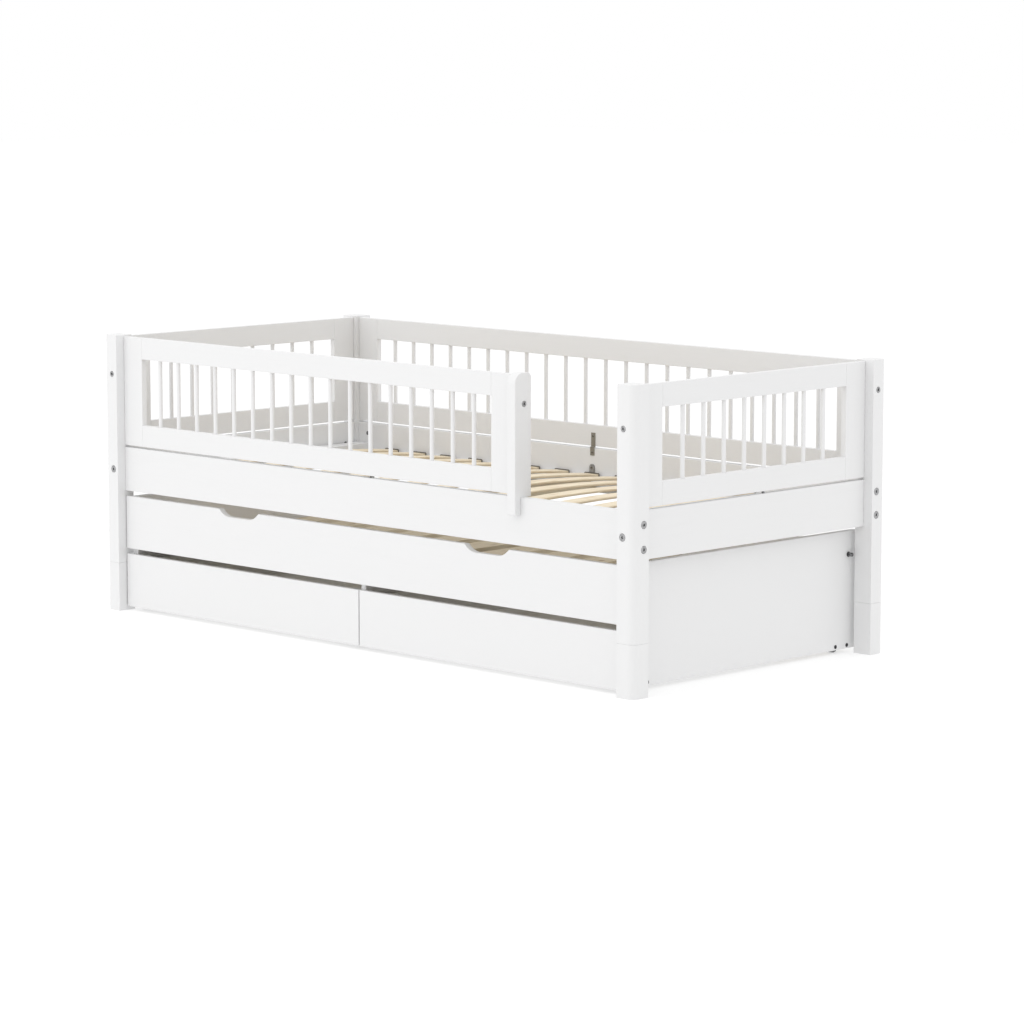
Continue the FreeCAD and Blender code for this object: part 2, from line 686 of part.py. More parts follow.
def stirrups():
    """Bent wire over each end of each slat, its feet on the ledge."""
    wire_radius = size("wire_radius")
    bend = size("wire_bend")
    half = size("slat_width") / 2 + wire_radius + size("wire_play")
    height = size("slat_thick") + wire_radius + size("wire_lift")
    turn = bend * (1 - cos(radians(45)))
    path = Part.Wire([
        Part.LineSegment(V(-half, 0, 0), V(-half, 0, height - bend)).toShape(),
        Part.Arc(V(-half, 0, height - bend), V(turn - half, 0, height - turn),
                 V(bend - half, 0, height)).toShape(),
        Part.LineSegment(V(bend - half, 0, height), V(half - bend, 0, height)).toShape(),
        Part.Arc(V(half - bend, 0, height), V(half - turn, 0, height - turn),
                 V(half, 0, height - bend)).toShape(),
        Part.LineSegment(V(half, 0, height - bend), V(half, 0, 0)).toShape(),
    ])
    section = Part.Wire(Part.Circle(V(-half, 0, 0), V(0, 0, 1), wire_radius).toShape())
    stirrup = path.makePipeShell([section], True, False)
    placements = []
    count = int(size("slat_count"))
    reach = size("rail_inner_y") - size("slat_end_gap") - 2 * wire_radius
    for index in range(count):
        along = size("slat_shift") + (index - (count - 1) / 2) * size("slat_pitch")
        for depth in DEPTHS.values():
            placements.append(FreeCAD.Placement(V(along, depth * reach, size("ledge_top")),
                                                FreeCAD.Rotation()))
    node(copies("stirrups", stirrup, placements), "slat_stirrups")


def centre_beam():
    ends = "rail_inner_y - hanger_thick"
    beam_top = "ledge_top - ledge_height + beam_height / 2"
    along = ("-beam_thick / 2", "beam_thick / 2")
    height = (f"{beam_top} - beam_height", beam_top)
    node(board("centre_beam", along, (f"-({ends})", ends), height), "centre_beam")
    hangers = []
    for depth_name, depth in DEPTHS.items():
        hangers.append(hanger(f"hanger_{depth_name}", depth, f"{beam_top} - beam_height"))
    node(group("hangers", hangers), "beam_hangers")


def hanger(label, depth, shelf):
    """A steel strap with a round top on the rail and a shelf under the beam's end."""
    across = mirrored(depth, "rail_inner_y - hanger_thick", "rail_inner_y")
    foot = f"{shelf} - hanger_thick"
    strap_top = "hanger_top - hanger_width / 2"
    along = ("-hanger_width / 2", "hanger_width / 2")
    strap = box(label + "_strap", along, across, (foot, strap_top))
    crown = rod(label + "_crown", ("0", across[0], strap_top), (0, 1, 0), "hanger_width / 2",
                "hanger_thick")
    inner = mirrored(depth, "rail_inner_y - hanger_thick - ledge_depth",
                     "rail_inner_y - hanger_thick")
    shelf_plate = box(label + "_shelf", along, inner, (foot, shelf))
    joined = fused(label, [strap, crown, shelf_plate])
    hole = rod(label + "_hole", ("0", across[0], strap_top), (0, 1, 0),
               "screw_radius + screw_play", "hanger_thick")
    return cut(label, joined, [hole])


# ---------------------------------------------------------------- guards


def guard(name, low, high, across_low, count, turned, screwed):
    """A guard frame of two stiles, two rails and round spindles.

    low and high are its ends along its own length, across_low the low face of its thickness.
    turned is True for the end guards, which run along Y. screwed tells which corners and
    directions of the guard screws belong to it.
    """
    label = f"guard_{name}"
    across = (across_low, f"{across_low} + guard_thick")

    def frame_board(part, length_range, height_range):
        if turned:
            return board(f"{label}_{part}", across, length_range, height_range)
        return board(f"{label}_{part}", length_range, across, height_range)

    inner = (f"{low} + stile_width", f"{high} - stile_width")
    full = ("guard_base", "guard_crest")
    stiles = []
    reach = "guard_bolt_length - post_side + hole_runout"
    screw_holes = entry_holes(label, "guard", screwed, reach, "guard_screw_radius")
    if name == "front":
        screw_holes.append(prop_screw_hole(label))
    for index, length_range in enumerate(((low, inner[0]), (inner[1], high))):
        stile = frame_board(f"stile_{index}", length_range, full)
        stiles.append(cut(f"{label}_stile_{index}", stile, screw_holes))
    node(group(label + "_stiles", stiles), f"{name}_guard_stiles")

    foot = "guard_base + guard_board - spindle_sunk"
    length = "guard_crest - guard_base - 2 * guard_board + 2 * spindle_sunk"
    spindles = []
    for index in range(int(size(count))):
        along = f"({low} + {high}) / 2 + ({index} - ({count} - 1) / 2) * spindle_pitch"
        start = (along, f"{across_low} + guard_thick / 2", foot)
        if turned:
            start = (start[1], start[0], start[2])
        spindles.append(rod(f"{label}_spindle_{index}", start, (0, 0, 1), "spindle_radius", length))
    row = node(group(label + "_spindles", spindles), f"{name}_guard_spindles")

    rails = []
    heights = (
        ("guard_base", "guard_base + guard_board"),
        ("guard_crest - guard_board", "guard_crest"),
    )
    if turned:
        hole = guard_dowel(label + "_dowel_hole", SIDES[name])
    else:
        hole = pilot(label + "_tie", TIE_PLACES[name], DEPTHS[name], "face_y - guard_thick",
                     "tie_top - tie_screw_inset")
    for index, height in enumerate(heights):
        rail = frame_board(f"rail_{index}", inner, height)
        bored = cut(f"{label}_rail_{index}", rail, [row])
        rails.append(cut(f"{label}_rail_drilled_{index}", bored, [hole]))
    node(group(label + "_rails", rails), f"{name}_guard_rails")


def guards():
    full_x = ("-post_inner_x + guard_play", "post_inner_x - guard_play")
    full_y = ("-post_inner_y + guard_play", "post_inner_y - guard_play")
    guard("front", full_x[0], "prop_x", "-face_y", "front_spindles", False,
          lambda corner, direction: corner[1] == -1 and direction[0])
    guard("rear", *full_x, "face_y - guard_thick", "rear_spindles", False,
          lambda corner, direction: corner[1] == 1 and direction[0])
    guard("left", *full_y, "-face_x", "end_spindles", True,
          lambda corner, direction: corner[0] == -1 and direction[1])
    guard("right", *full_y, "face_x - guard_thick", "end_spindles", True,
          lambda corner, direction: corner[0] == 1 and direction[1])


PROP_SCREW = (
    "prop_x + prop_thick",
    "-face_y + guard_thick / 2 + prop_screw_place",
    "side_guard_bolt",
)


def prop_screw_hole(label):
    """Hole for the screw through the support post into the front guard."""
    reach = "prop_screw_length + hole_runout"
    return rod(label + "_prop_screw", PROP_SCREW, (-1, 0, 0), "guard_screw_radius", reach)


def support_post():
    """The post at the free end of the front guard, hooked over the front bed rail."""
    body = new_body("prop_body")
    sketch = new_sketch(body, "prop_side", "YZ_Plane")
    front = "(-bed_width / 2 + prop_inset)"
    corners = [
        (front, "prop_foot"),
        ("-face_y", "prop_foot"),
        ("-face_y", "rail_top"),
        (f"{front} + prop_depth", "rail_top"),
        (f"{front} + prop_depth", "prop_crest"),
        (front, "prop_crest"),
    ]
    front_y = -size("bed_width") / 2 + size("prop_inset")
    rear_y = front_y + size("prop_depth")
    notch_y = -size("face_y")
    foot, step, crest = size("prop_foot"), size("rail_top"), size("prop_crest")
    guess = [(front_y, foot), (notch_y, foot), (notch_y, step), (rear_y, step), (rear_y, crest),
             (front_y, crest)]
    polygon(sketch, corners, guess)
    feature = pad(body, sketch, "prop_thick", "prop_pad")

    def across_at(y, z):
        def wanted(edge, middle):
            return runs_along(edge, V(1, 0, 0)) and abs(middle.y - y) < 0.1 and abs(middle.z - z) < 0.1
        return wanted

    for radius, y, z in (
        ("prop_front_round", front_y, crest),
        ("prop_rear_round", rear_y, crest),
        ("prop_foot_round", front_y, foot),
        ("prop_foot_round", notch_y, foot),
    ):
        feature = round_edges(body, feature, radius, f"prop_round_{len(body.Group)}", across_at(y, z))

    def side_outline(edge, middle):
        on_side = abs(edge.BoundBox.XLength) < 0.01
        in_notch = abs(middle.y - notch_y) < 0.1 or abs(middle.z - step) < 0.1
        return on_side and not in_notch

    round_edges(body, feature, "edge_ease", "prop_ease", side_outline)
    place(body, "prop_x")
    hole = prop_screw_hole("prop")
    seat = rod("prop_seat", PROP_SCREW, (-1, 0, 0), "guard_screw_head + head_play",
               "bolt_head_thick")
    node(cut("prop", body, [hole, seat]), "guard_support_post")
    return seat


# ---------------------------------------------------------------- small steel parts


def tie_plates():
    """Cranked steel plates that hold each long guard in line with the bed rail below it."""
    width, thick = size("tie_width"), size("tie_thick")
    step = size("rail_thick") - size("guard_thick")
    foot, crank, crest = size("tie_foot"), size("tie_crank"), size("tie_top")
    outline = [(0, crest), (0, crank), (step, crank), (step, foot), (step + thick, foot),
               (step + thick, crank + thick), (thick, crank + thick), (thick, crest), (0, crest)]
    points = [V(-width / 2, across, height) for across, height in outline]
    plate = Part.Face(Part.makePolygon(points)).extrude(V(width, 0, 0))
    inset = size("tie_screw_inset")
    holes = ((0, crest - inset), (step, foot + inset))
    hole_radius = size("screw_radius") + size("screw_play")
    for across, height in holes:
        hole = Part.makeCylinder(hole_radius, thick, V(0, across, height), V(0, 1, 0))
        plate = plate.cut(hole)
    screw = screw_shape(size("screw_head"), size("pilot_depth"))
    plate_places = []
    screw_places = []
    guard_inner_y = size("face_y") - size("guard_thick")
    for point, turn in (
        (V(size("front_tie_place"), -guard_inner_y, 0), 0),
        (V(0, guard_inner_y, 0), 180),
    ):
        at = FreeCAD.Placement(point, FreeCAD.Rotation(V(0, 0, 1), turn))
        plate_places.append(at)
        for across, height in holes:
            head = FreeCAD.Placement(V(0, across + thick, height),
                                     FreeCAD.Rotation(V(0, 0, 1), V(0, -1, 0)))
            screw_places.append(at * head)
    node(copies("ties", plate, plate_places), "tie_plates")
    for depth in DEPTHS.values():
        level = size("hanger_top") - size("hanger_width") / 2
        head = V(0, depth * (size("rail_inner_y") - size("hanger_thick")), level)
        screw_places.append(FreeCAD.Placement(head, FreeCAD.Rotation(V(0, 0, 1), V(0, depth, 0))))
    node(copies("plate_screws", screw, screw_places), "plate_screws")


def screw_shape(head_radius, length):
    """A small screw along +Z, its head standing on the plane at zero."""
    head_thick = size("screw_head_thick")
    head = Part.makeCylinder(head_radius, head_thick, V(0, 0, 0), V(0, 0, -1))
    rim = [edge for edge in head.Edges if edge.BoundBox.ZMax < 0.01 - head_thick]
    head = head.makeFillet(size("screw_head_round"), rim)
    shank = Part.makeCylinder(size("screw_radius"), length)
    return head.fuse(shank).removeSplitter()


# ---------------------------------------------------------------- guest bed on castors


def trundle_front():
    """The front board, with two finger scoops in its upper edge."""
    body = new_body("trundle_front_body")
    sketch = new_sketch(body, "front_outline", "XZ_Plane", "face_y - front_thick")
    end, low, high = size("front_end_x"), size("trundle_front_base"), size("trundle_top")
    corners = [
        ("-front_end_x", "trundle_front_base"),
        ("front_end_x", "trundle_front_base"),
        ("front_end_x", "trundle_top"),
        ("-front_end_x", "trundle_top"),
    ]
    polygon(sketch, corners, [(-end, low), (end, low), (end, high), (-end, high)])
    blank = pad(body, sketch, "front_thick", "front_pad")

    round_edges(body, blank, "edge_ease", "front_ease", lambda edge, middle: True)
    scoops = [scoop(f"scoop_{name}", side) for name, side in SIDES.items()]
    node(cut("trundle_front", body, scoops), "trundle_front")


def scoop(label, side):
    """The cutter of one finger scoop: a flat bottom between round sides that rise to the lips."""
    depth, flat, turn = size("scoop_depth"), size("scoop_flat") / 2, size("scoop_round")
    lean = radians(size("scoop_lean"))
    side_x, side_z = flat + turn * sin(lean), turn * (1 - cos(lean))
    lip_x = side_x + (depth - side_z) / (sin(lean) / cos(lean))
    mid = lean / 2
    right = [
        Part.Arc(V(flat, 0, 0), V(flat + turn * sin(mid), 0, turn * (1 - cos(mid))),
                 V(side_x, 0, side_z)).toShape(),
        Part.LineSegment(V(side_x, 0, side_z), V(lip_x, 0, depth)).toShape(),
    ]
    left = [edge.mirror(V(0, 0, 0), V(1, 0, 0)) for edge in right]
    bottom = Part.LineSegment(V(-flat, 0, 0), V(flat, 0, 0)).toShape()
    rim = Part.makePolygon([V(lip_x, 0, depth), V(lip_x, 0, 2 * depth), V(-lip_x, 0, 2 * depth),
                            V(-lip_x, 0, depth)])
    outline = Part.Wire(Part.__sortEdges__(right + left + [bottom] + rim.Edges))
    thick = size("front_thick")
    feature = doc.addObject("Part::Feature", label)
    feature.Shape = Part.Face(outline).extrude(V(0, 2 * thick, 0))
    start_y = -size("face_y") - thick / 2
    place_at = V(side * size("scoop_centre"), start_y, size("trundle_top") - depth)
    feature.Placement = FreeCAD.Placement(place_at, FreeCAD.Rotation())
    return feature


def trundle_panels():
    """The two end panels, drilled for the castor screws."""
    along_y = ("-front_back_y", "trundle_back")
    height = ("panel_base", "trundle_top")
    for side_name, side in SIDES.items():
        label = f"trundle_panel_{side_name}"
        blank = board(label, mirrored(side, "panel_inner_x", "panel_outer_x"), along_y, height)
        start_x = f"{side} * panel_outer_x"
        tools = castor_screw_holes(label, start_x, (-side, 0, 0))
        pin_start = (f"{side} * panel_inner_x", "pin_place", "pin_level")
        tools.append(rod(label + "_pin_hole", pin_start, (side, 0, 0), "pin_radius", "panel_thick"))
        node(cut(label, blank, tools), label)


def castor_screw_holes(label, start_x, direction):
    holes = []
    for end, middle in (("front", "wheel_front_y"), ("rear", "wheel_rear_y")):
        for turn in (-1, 1):
            start = (start_x, f"{middle} + {turn} * castor_screw_spread / 2", "castor_screw_level")
            name = f"{label}_screw_{end}_{turn}"
            hole = rod(name, start, direction, "screw_radius", "panel_thick")
            castor_screws.append(hole)
            holes.append(hole)
    return holes


def trundle_divider():
    along = ("-panel_thick / 2", "panel_thick / 2")
    across = ("-front_back_y", "trundle_back - panel_thick")
    blank = board("divider", along, across, ("panel_base", "board_base"))
    tools = castor_screw_holes("divider", "panel_thick / 2", (-1, 0, 0))
    node(cut("divider", blank, tools), "trundle_divider")


def trundle_base():
    """Back board, cleats and the flat slat boards of the guest bed."""
    along = ("-panel_inner_x", "panel_inner_x")
    back = ("trundle_back - panel_thick", "trundle_back")
    node(board("back", along, back, ("back_base", "back_top")), "trundle_back_board")
    cleats = []
    for depth_name, face in (("front", "-front_back_y"), ("rear", back[0])):
        if depth_name == "front":
            across = (face, f"{face} + cleat_depth")
        else:
            across = (f"{face} - cleat_depth", face)
        for side_name, side in SIDES.items():
            half = mirrored(side, "panel_thick / 2", "panel_inner_x")
            height = ("trundle_front_base", "board_base")
            cleats.append(board(f"cleat_{depth_name}_{side_name}", half, across, height))
    node(group("cleats", cleats), "trundle_cleats")
    boards = []
    across = ("-front_back_y + board_play", f"{back[0]} - board_play")
    for index in range(int(size("board_count"))):
        middle = f"({index} - (board_count - 1) / 2) * board_pitch"
        width = (f"{middle} - board_width / 2", f"{middle} + board_width / 2")
        boards.append(board(f"slat_board_{index}", width, across, ("board_base", "board_top")))
    node(group("slat_boards", boards), "trundle_slats")


def stop_pins():
    pins = []
    for side_name, side in SIDES.items():
        start = (f"{side} * panel_inner_x", "pin_place", "pin_level")
        outwards = (side, 0, 0)
        length = "panel_thick + pin_length"
        shank = rod(f"pin_{side_name}_shank", start, outwards, "pin_radius", length)
        collar_start = step_in(start, outwards, "panel_thick")
        collar = rod(f"pin_{side_name}_collar", collar_start, outwards, "pin_collar",
                     "pin_collar_thick")
        pins.append(fused(f"pin_{side_name}", [shank, collar]))
    node(group("pins", pins), "stop_pins")


def fixed_runners():
    """Strips on the end panels and the divider that carry the drawers."""
    strips = []
    height = ("runner_level - runner_height - runner_play", "runner_level - runner_play")
    across = ("-front_back_y + runner_start", "-front_back_y + runner_start + runner_length")
    for side_name, side in SIDES.items():
        outer = mirrored(side, "panel_inner_x - runner_thick", "panel_inner_x")
        inner = mirrored(side, "panel_thick / 2", "panel_thick / 2 + runner_thick")
        for place_name, along in (("outer", outer), ("inner", inner)):
            strips.append(box(f"runner_{side_name}_{place_name}", along, across, height))
    node(group("runners", strips), "drawer_runners")


# ---------------------------------------------------------------- castors

# Each castor hangs on one face of an upright panel: name, face along X, direction away from it.
CASTOR_FACES = {
    "left": ("-panel_inner_x", 1),
    "middle": ("-panel_thick / 2", -1),
    "right": ("panel_inner_x", -1),
}
CASTOR_ENDS = {"front": "wheel_front_y", "rear": "wheel_rear_y"}
castor_screws = []


def castors():
    plates = []
    axles = []
    for end, middle in CASTOR_ENDS.items():
        for face_name, (face, away) in CASTOR_FACES.items():
            name = f"{face_name}_{end}"
            low = face if away > 0 else f"{face} - plate_thick"
            along = (low, f"{low} + plate_thick")
            across = (f"{middle} - plate_length / 2", f"{middle} + plate_length / 2")
            height = ("plate_base", "plate_base + plate_height")
            plate = box(f"plate_{name}", along, across, height)
            holes = []
            for turn in (-1, 1):
                start = (low, f"{middle} + {turn} * castor_screw_spread / 2", "castor_screw_level")
                holes.append(rod(f"plate_{name}_hole_{turn}", start, (1, 0, 0),
                                 "screw_radius + screw_play", "plate_thick"))
            plates.append(cut(f"plate_{name}", plate, holes))

            inner = f"{face} + {away} * plate_thick"
            reach = "wheel_offset + wheel_width / 2 - plate_thick + axle_gap"
            axle_start = (inner, middle, "wheel_radius")
            shank = rod(f"shank_{name}", axle_start, (away, 0, 0), "axle_radius", reach)
            head_start = step_in(axle_start, (away, 0, 0), reach)
            head = rod(f"head_{name}", head_start, (away, 0, 0), "axle_head", "axle_head_thick")
            axles.append(fused(f"axle_{name}", [shank, head]))
            wheel(f"castor_wheel_{name}", f"{face} + {away} * wheel_offset", middle)
    node(group("plates", plates), "castor_plates")
    node(group("axles", axles), "castor_axles")
    shape = screw_shape(size("castor_screw_head"), size("panel_thick") + size("plate_thick"))
    node(copies("screws", shape, [hole.Placement for hole in castor_screws]), "castor_screws")


def wheel(label, centre_x, centre_y):
    """A plain castor wheel turned about X, bored for its axle."""
    body = new_body(label + "_body")
    sketch = new_sketch(body, label + "_section", "XY_Plane")
    half, inner, outer = size("wheel_width") / 2, size("wheel_bore"), size("wheel_radius")
    corners = [
        ("-wheel_width / 2", "wheel_bore"),
        ("wheel_width / 2", "wheel_bore"),
        ("wheel_width / 2", "wheel_radius"),
        ("-wheel_width / 2", "wheel_radius"),
    ]
    polygon(sketch, corners, [(-half, inner), (half, inner), (half, outer), (-half, outer)])
    turned = body.newObject("PartDesign::Revolution", label + "_turned")
    turned.Profile = sketch
    turned.ReferenceAxis = (sketch, ["H_Axis"])
    turned.Angle = 360
    body.Tip = turned
    doc.recompute()

    def tread_edge(edge, middle):
        return edge.BoundBox.ZLength > 1.9 * outer

    round_edges(body, turned, "wheel_round", label + "_tread", tread_edge)
    place(body, centre_x, centre_y, "wheel_radius")
    node(body, label)


# ---------------------------------------------------------------- drawers


def drawer(name, side):
    """A drawer that hangs on two runner strips, its front covering the end panel's edge."""
    label = f"{name}_drawer"
    front_y = ("-face_y", "-front_back_y - drawer_panel_gap")
    along = mirrored(side, "drawer_split / 2", "front_end_x")
    node(board(label + "_face", along, front_y, ("drawer_base", "drawer_top")), label + "_front")

    outer = mirrored(side, "box_inner_x", "box_outer_x")
    depth = (front_y[1], f"{front_y[1]} + box_depth")
    height = ("box_base", "box_top")
    inner = (f"{outer[0]} + box_wall", f"{outer[1]} - box_wall")
    walls = [
        board(label + "_wall_low", (outer[0], inner[0]), depth, height),
        board(label + "_wall_high", (inner[1], outer[1]), depth, height),
        board(label + "_wall_rear", inner, (f"{depth[1]} - box_wall", depth[1]), height),
        board(label + "_wall_front", inner, (depth[0], f"{depth[0]} + box_wall"), height),
    ]
    node(group(label + "_walls", walls), label + "_walls")

    floor = ("box_base + bottom_rise", "box_base + bottom_rise + bottom_thick")
    clear = (f"{depth[0]} + box_wall", f"{depth[1]} - box_wall")
    node(box(label + "_base", inner, clear, floor), label + "_bottom")

    strips = []
    level = ("runner_level", "runner_level + runner_height")
    for index, (start, reach) in enumerate(((outer[0], -1), (outer[1], 1))):
        low = f"{start} - runner_thick" if reach < 0 else start
        strip = box(f"{label}_strip_{index}", (low, f"{low} + runner_thick"), depth, level)
        strips.append(strip)
    node(group(label + "_strips", strips), label + "_runners")


# ---------------------------------------------------------------- build, check and write


def build():
    fill_sheet()
    posts_and_legs()
    bed_rails()
    slat_ledges()
    bowed_slats()
    end_boards()
    stirrups()
    centre_beam()
    guards()
    prop_seat = support_post()
    doc.recompute()
    node(bolts("rail_bolt_set", "rail", "bolt_radius", "rail_bolt_length"), "rail_bolts")
    guard_screws(prop_seat)
    node(barrel_nuts("nut_set"), "rail_barrel_nuts")
    tie_plates()
    trundle_front()
    trundle_panels()
    trundle_divider()
    trundle_base()
    stop_pins()
    fixed_runners()
    doc.recompute()
    castors()
    for name, side in SIDES.items():
        drawer(name, side)
    doc.recompute()


def check():
    failed = [item.Label for item in doc.Objects if {"Invalid", "Error"} & set(item.State)]
    if failed:
        raise RuntimeError(f"failed objects: {failed}")
    for piece in nodes:
        if piece.Shape.isNull() or not piece.Shape.isValid() or piece.Shape.Volume <= 0:
            raise RuntimeError(f"bad shape: {piece.Label}")


def write():
    os.makedirs("parts", exist_ok=True)
    for piece in nodes:
        piece.Shape.exportStep(f"parts/{piece.Label}.step")


build()
check()
write()
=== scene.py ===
from math import cos, pi, radians, sin

import bmesh
import bpy
from bpy.props import FloatProperty, FloatVectorProperty, IntProperty, PointerProperty
from mathutils import Euler, Matrix, Vector


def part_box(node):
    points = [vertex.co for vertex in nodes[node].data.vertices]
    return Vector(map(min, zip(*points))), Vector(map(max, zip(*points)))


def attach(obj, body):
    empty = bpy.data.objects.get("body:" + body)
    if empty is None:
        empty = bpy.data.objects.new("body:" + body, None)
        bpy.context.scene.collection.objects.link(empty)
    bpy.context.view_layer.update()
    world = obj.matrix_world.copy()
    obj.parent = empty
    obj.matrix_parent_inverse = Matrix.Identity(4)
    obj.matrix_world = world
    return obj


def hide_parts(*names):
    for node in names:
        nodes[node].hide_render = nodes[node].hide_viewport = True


bl_info = {
    "name": "Guard Rail Bed",
    "version": (1, 0, 0),
    "blender": (4, 5, 0),
    "location": "View3D > Sidebar > Bed",
    "description": "Paint, wood, steel and castors of a children's bed with a guest bed and drawers",
    "category": "Object",
}

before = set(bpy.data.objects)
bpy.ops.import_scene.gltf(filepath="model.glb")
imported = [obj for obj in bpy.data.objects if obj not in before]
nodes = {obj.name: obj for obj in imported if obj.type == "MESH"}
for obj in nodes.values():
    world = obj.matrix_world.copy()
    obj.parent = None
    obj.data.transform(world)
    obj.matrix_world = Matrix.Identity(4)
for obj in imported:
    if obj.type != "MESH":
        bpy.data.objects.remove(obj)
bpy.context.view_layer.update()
slats_low, slats_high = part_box("bed_slats")
wheel_low, wheel_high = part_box("castor_wheel_left_front")

WHEEL_BORE = 0.00405   # radius of the hole for a castor's axle
CASTORS = [f"castor_wheel_{side}_{end}" for side in ("left", "middle", "right")
           for end in ("front", "rear")]


# ---------------------------------------------------------------- what a user may change


def colour(name, description, default):
    """A colour that the panel shows."""
    return FloatVectorProperty(name=name, description=description, default=(*default, 1.0),
                               subtype="COLOR", size=4, min=0.0, max=1.0)


def length(name, description, default):
    """A length in metres that the panel shows."""
    return FloatProperty(name=name, description=description, default=default, subtype="DISTANCE",
                         unit="LENGTH", min=0.0, precision=4)


class BedColours(bpy.types.PropertyGroup):
    """Colours of the bed's paint, woods, steels and plastics."""

    paint: colour("Paint", "Satin white lacquer", (0.77, 0.77, 0.772))
    paint_thin: colour("Thin paint", "Lacquer where it lies thinner on the grain", (0.73, 0.73, 0.728))
    slat: colour("Slats", "Pale layers of the bowed slats", (0.86, 0.76, 0.58))
    slat_grain: colour("Slat grain", "Dark grain of the bowed slats", (0.60, 0.44, 0.25))
    pine: colour("Pine", "Bare pine boards", (0.69, 0.615, 0.47))
    pine_grain: colour("Pine grain", "Late wood of the pine", (0.47, 0.38, 0.25))
    knot: colour("Knots", "Heart of a knot", (0.22, 0.11, 0.045))
    foil: colour("Drawer board", "White foil of the drawer boxes", (0.75, 0.75, 0.74))
    zinc: colour("Zinc", "Zinc plated bolts and fittings", (0.46, 0.46, 0.465))
    zinc_dull: colour("Dull zinc", "Cloudy patches of the zinc", (0.29, 0.29, 0.295))
    recess_shade: colour("Recess", "Shade in the sockets and corners of steel", (0.03, 0.03, 0.031))
    graphite: colour("Graphite", "Barrel nuts, studs, castor screws and collars", (0.075, 0.075, 0.078))
    dark_steel: colour("Dark steel", "Coated slat wires", (0.15, 0.14, 0.125))
    tie_steel: colour("Tie plates", "Coated plates between guards and rails", (0.30, 0.285, 0.25))
    nylon: colour("Nylon", "Hub of a castor wheel", (0.40, 0.41, 0.415))
    tyre: colour("Tyre", "Soft tread of a castor wheel", (0.26, 0.262, 0.265))


class BedSizes(bpy.types.PropertyGroup):
    """Sizes of the pieces that are made here."""

    slat_count: IntProperty(name="Slats", description="Bowed slats along the bed", default=15, min=1)
    slat_width: length("Slat width", "Width of a bowed slat", 0.053)
    slat_thick: length("Slat thickness", "Thickness of a bowed slat", 0.007)
    slat_round: length("Slat rounding", "Rounded long edges of a slat", 0.0025)
    tyre_thick: length("Tyre thickness", "Soft tread round a castor wheel", 0.0042)
    hub_radius: length("Hub", "Radius of a castor wheel's hub", 0.0072)
    web_thick: length("Web", "Disc between hub and rim", 0.0036)
    spoke_count: IntProperty(name="Spokes", description="Ribs of a castor wheel", default=6, min=3)
    screw_head: length("Screw head", "Radius of a small screw's head", 0.004)
    castor_screw_head: length("Castor screw head", "Radius of a castor screw's head", 0.0055)
    screw_head_high: length("Screw head height", "Height of a small screw's head", 0.0015)
    screw_shank: length("Screw shank", "Radius of a small screw's shank", 0.002)
    pin_radius: length("Stop pin", "Radius of a stop pin", 0.0055)
    pin_proud: length("Stop pin, proud", "Length of a stop pin outside its panel", 0.015)
    pin_collar_high: length("Stop pin collar", "Height of a stop pin's collar", 0.003)


class BedStage(bpy.types.PropertyGroup):
    """Camera, floor and lights."""

    camera_place: FloatVectorProperty(name="Camera", description="Place of the camera",
                                      default=(7.5557, -7.5331, 1.7791), subtype="XYZ",
                                      unit="LENGTH")
    camera_turn: FloatVectorProperty(name="Camera turn", description="Direction of the camera",
                                     default=(radians(82.302), 0.0, radians(44.627)),
                                     subtype="EULER", unit="ROTATION")
    camera_lens: FloatProperty(name="Lens", description="Focal length on a 36 mm sensor",
                               default=134.17, min=10.0)
    floor_reach: length("Floor", "Half side of the floor", 30.0)
    floor_glow: FloatProperty(name="Floor glow", description="Light that the floor gives off",
                              default=0.55, min=0.0)
    sky: FloatProperty(name="Sky", description="Strength of the even light from all round",
                       default=1.0, min=0.0)
    front_light: FloatProperty(name="Front light", description="Power of the softbox in front",
                               default=66.0, min=0.0)
    side_light: FloatProperty(name="Side light", description="Power of the softbox at the side",
                              default=12.0, min=0.0)
    top_light: FloatProperty(name="Top light", description="Power of the softbox overhead",
                             default=45.0, min=0.0)


# ---------------------------------------------------------------- finishes


class Value:
    """A socket that gives a number. Sums and products of it add Math nodes to its finish."""

    def __init__(self, finish, socket):
        self.finish = finish
        self.socket = socket

    def math(self, operation, *terms):
        return self.finish.add("ShaderNodeMath", {"operation": operation}, dict(enumerate(terms)))

    def __add__(self, other):
        return self.math("ADD", self, other)

    def __radd__(self, other):
        return self.math("ADD", other, self)

    def __sub__(self, other):
        return self.math("SUBTRACT", self, other)

    def __rsub__(self, other):
        return self.math("SUBTRACT", other, self)

    def __mul__(self, other):
        return self.math("MULTIPLY", self, other)

    def __rmul__(self, other):
        return self.math("MULTIPLY", other, self)

    def __truediv__(self, other):
        return self.math("DIVIDE", self, other)

    def __pow__(self, other):
        return self.math("POWER", self, other)

    def __abs__(self):
        return self.math("ABSOLUTE", self)


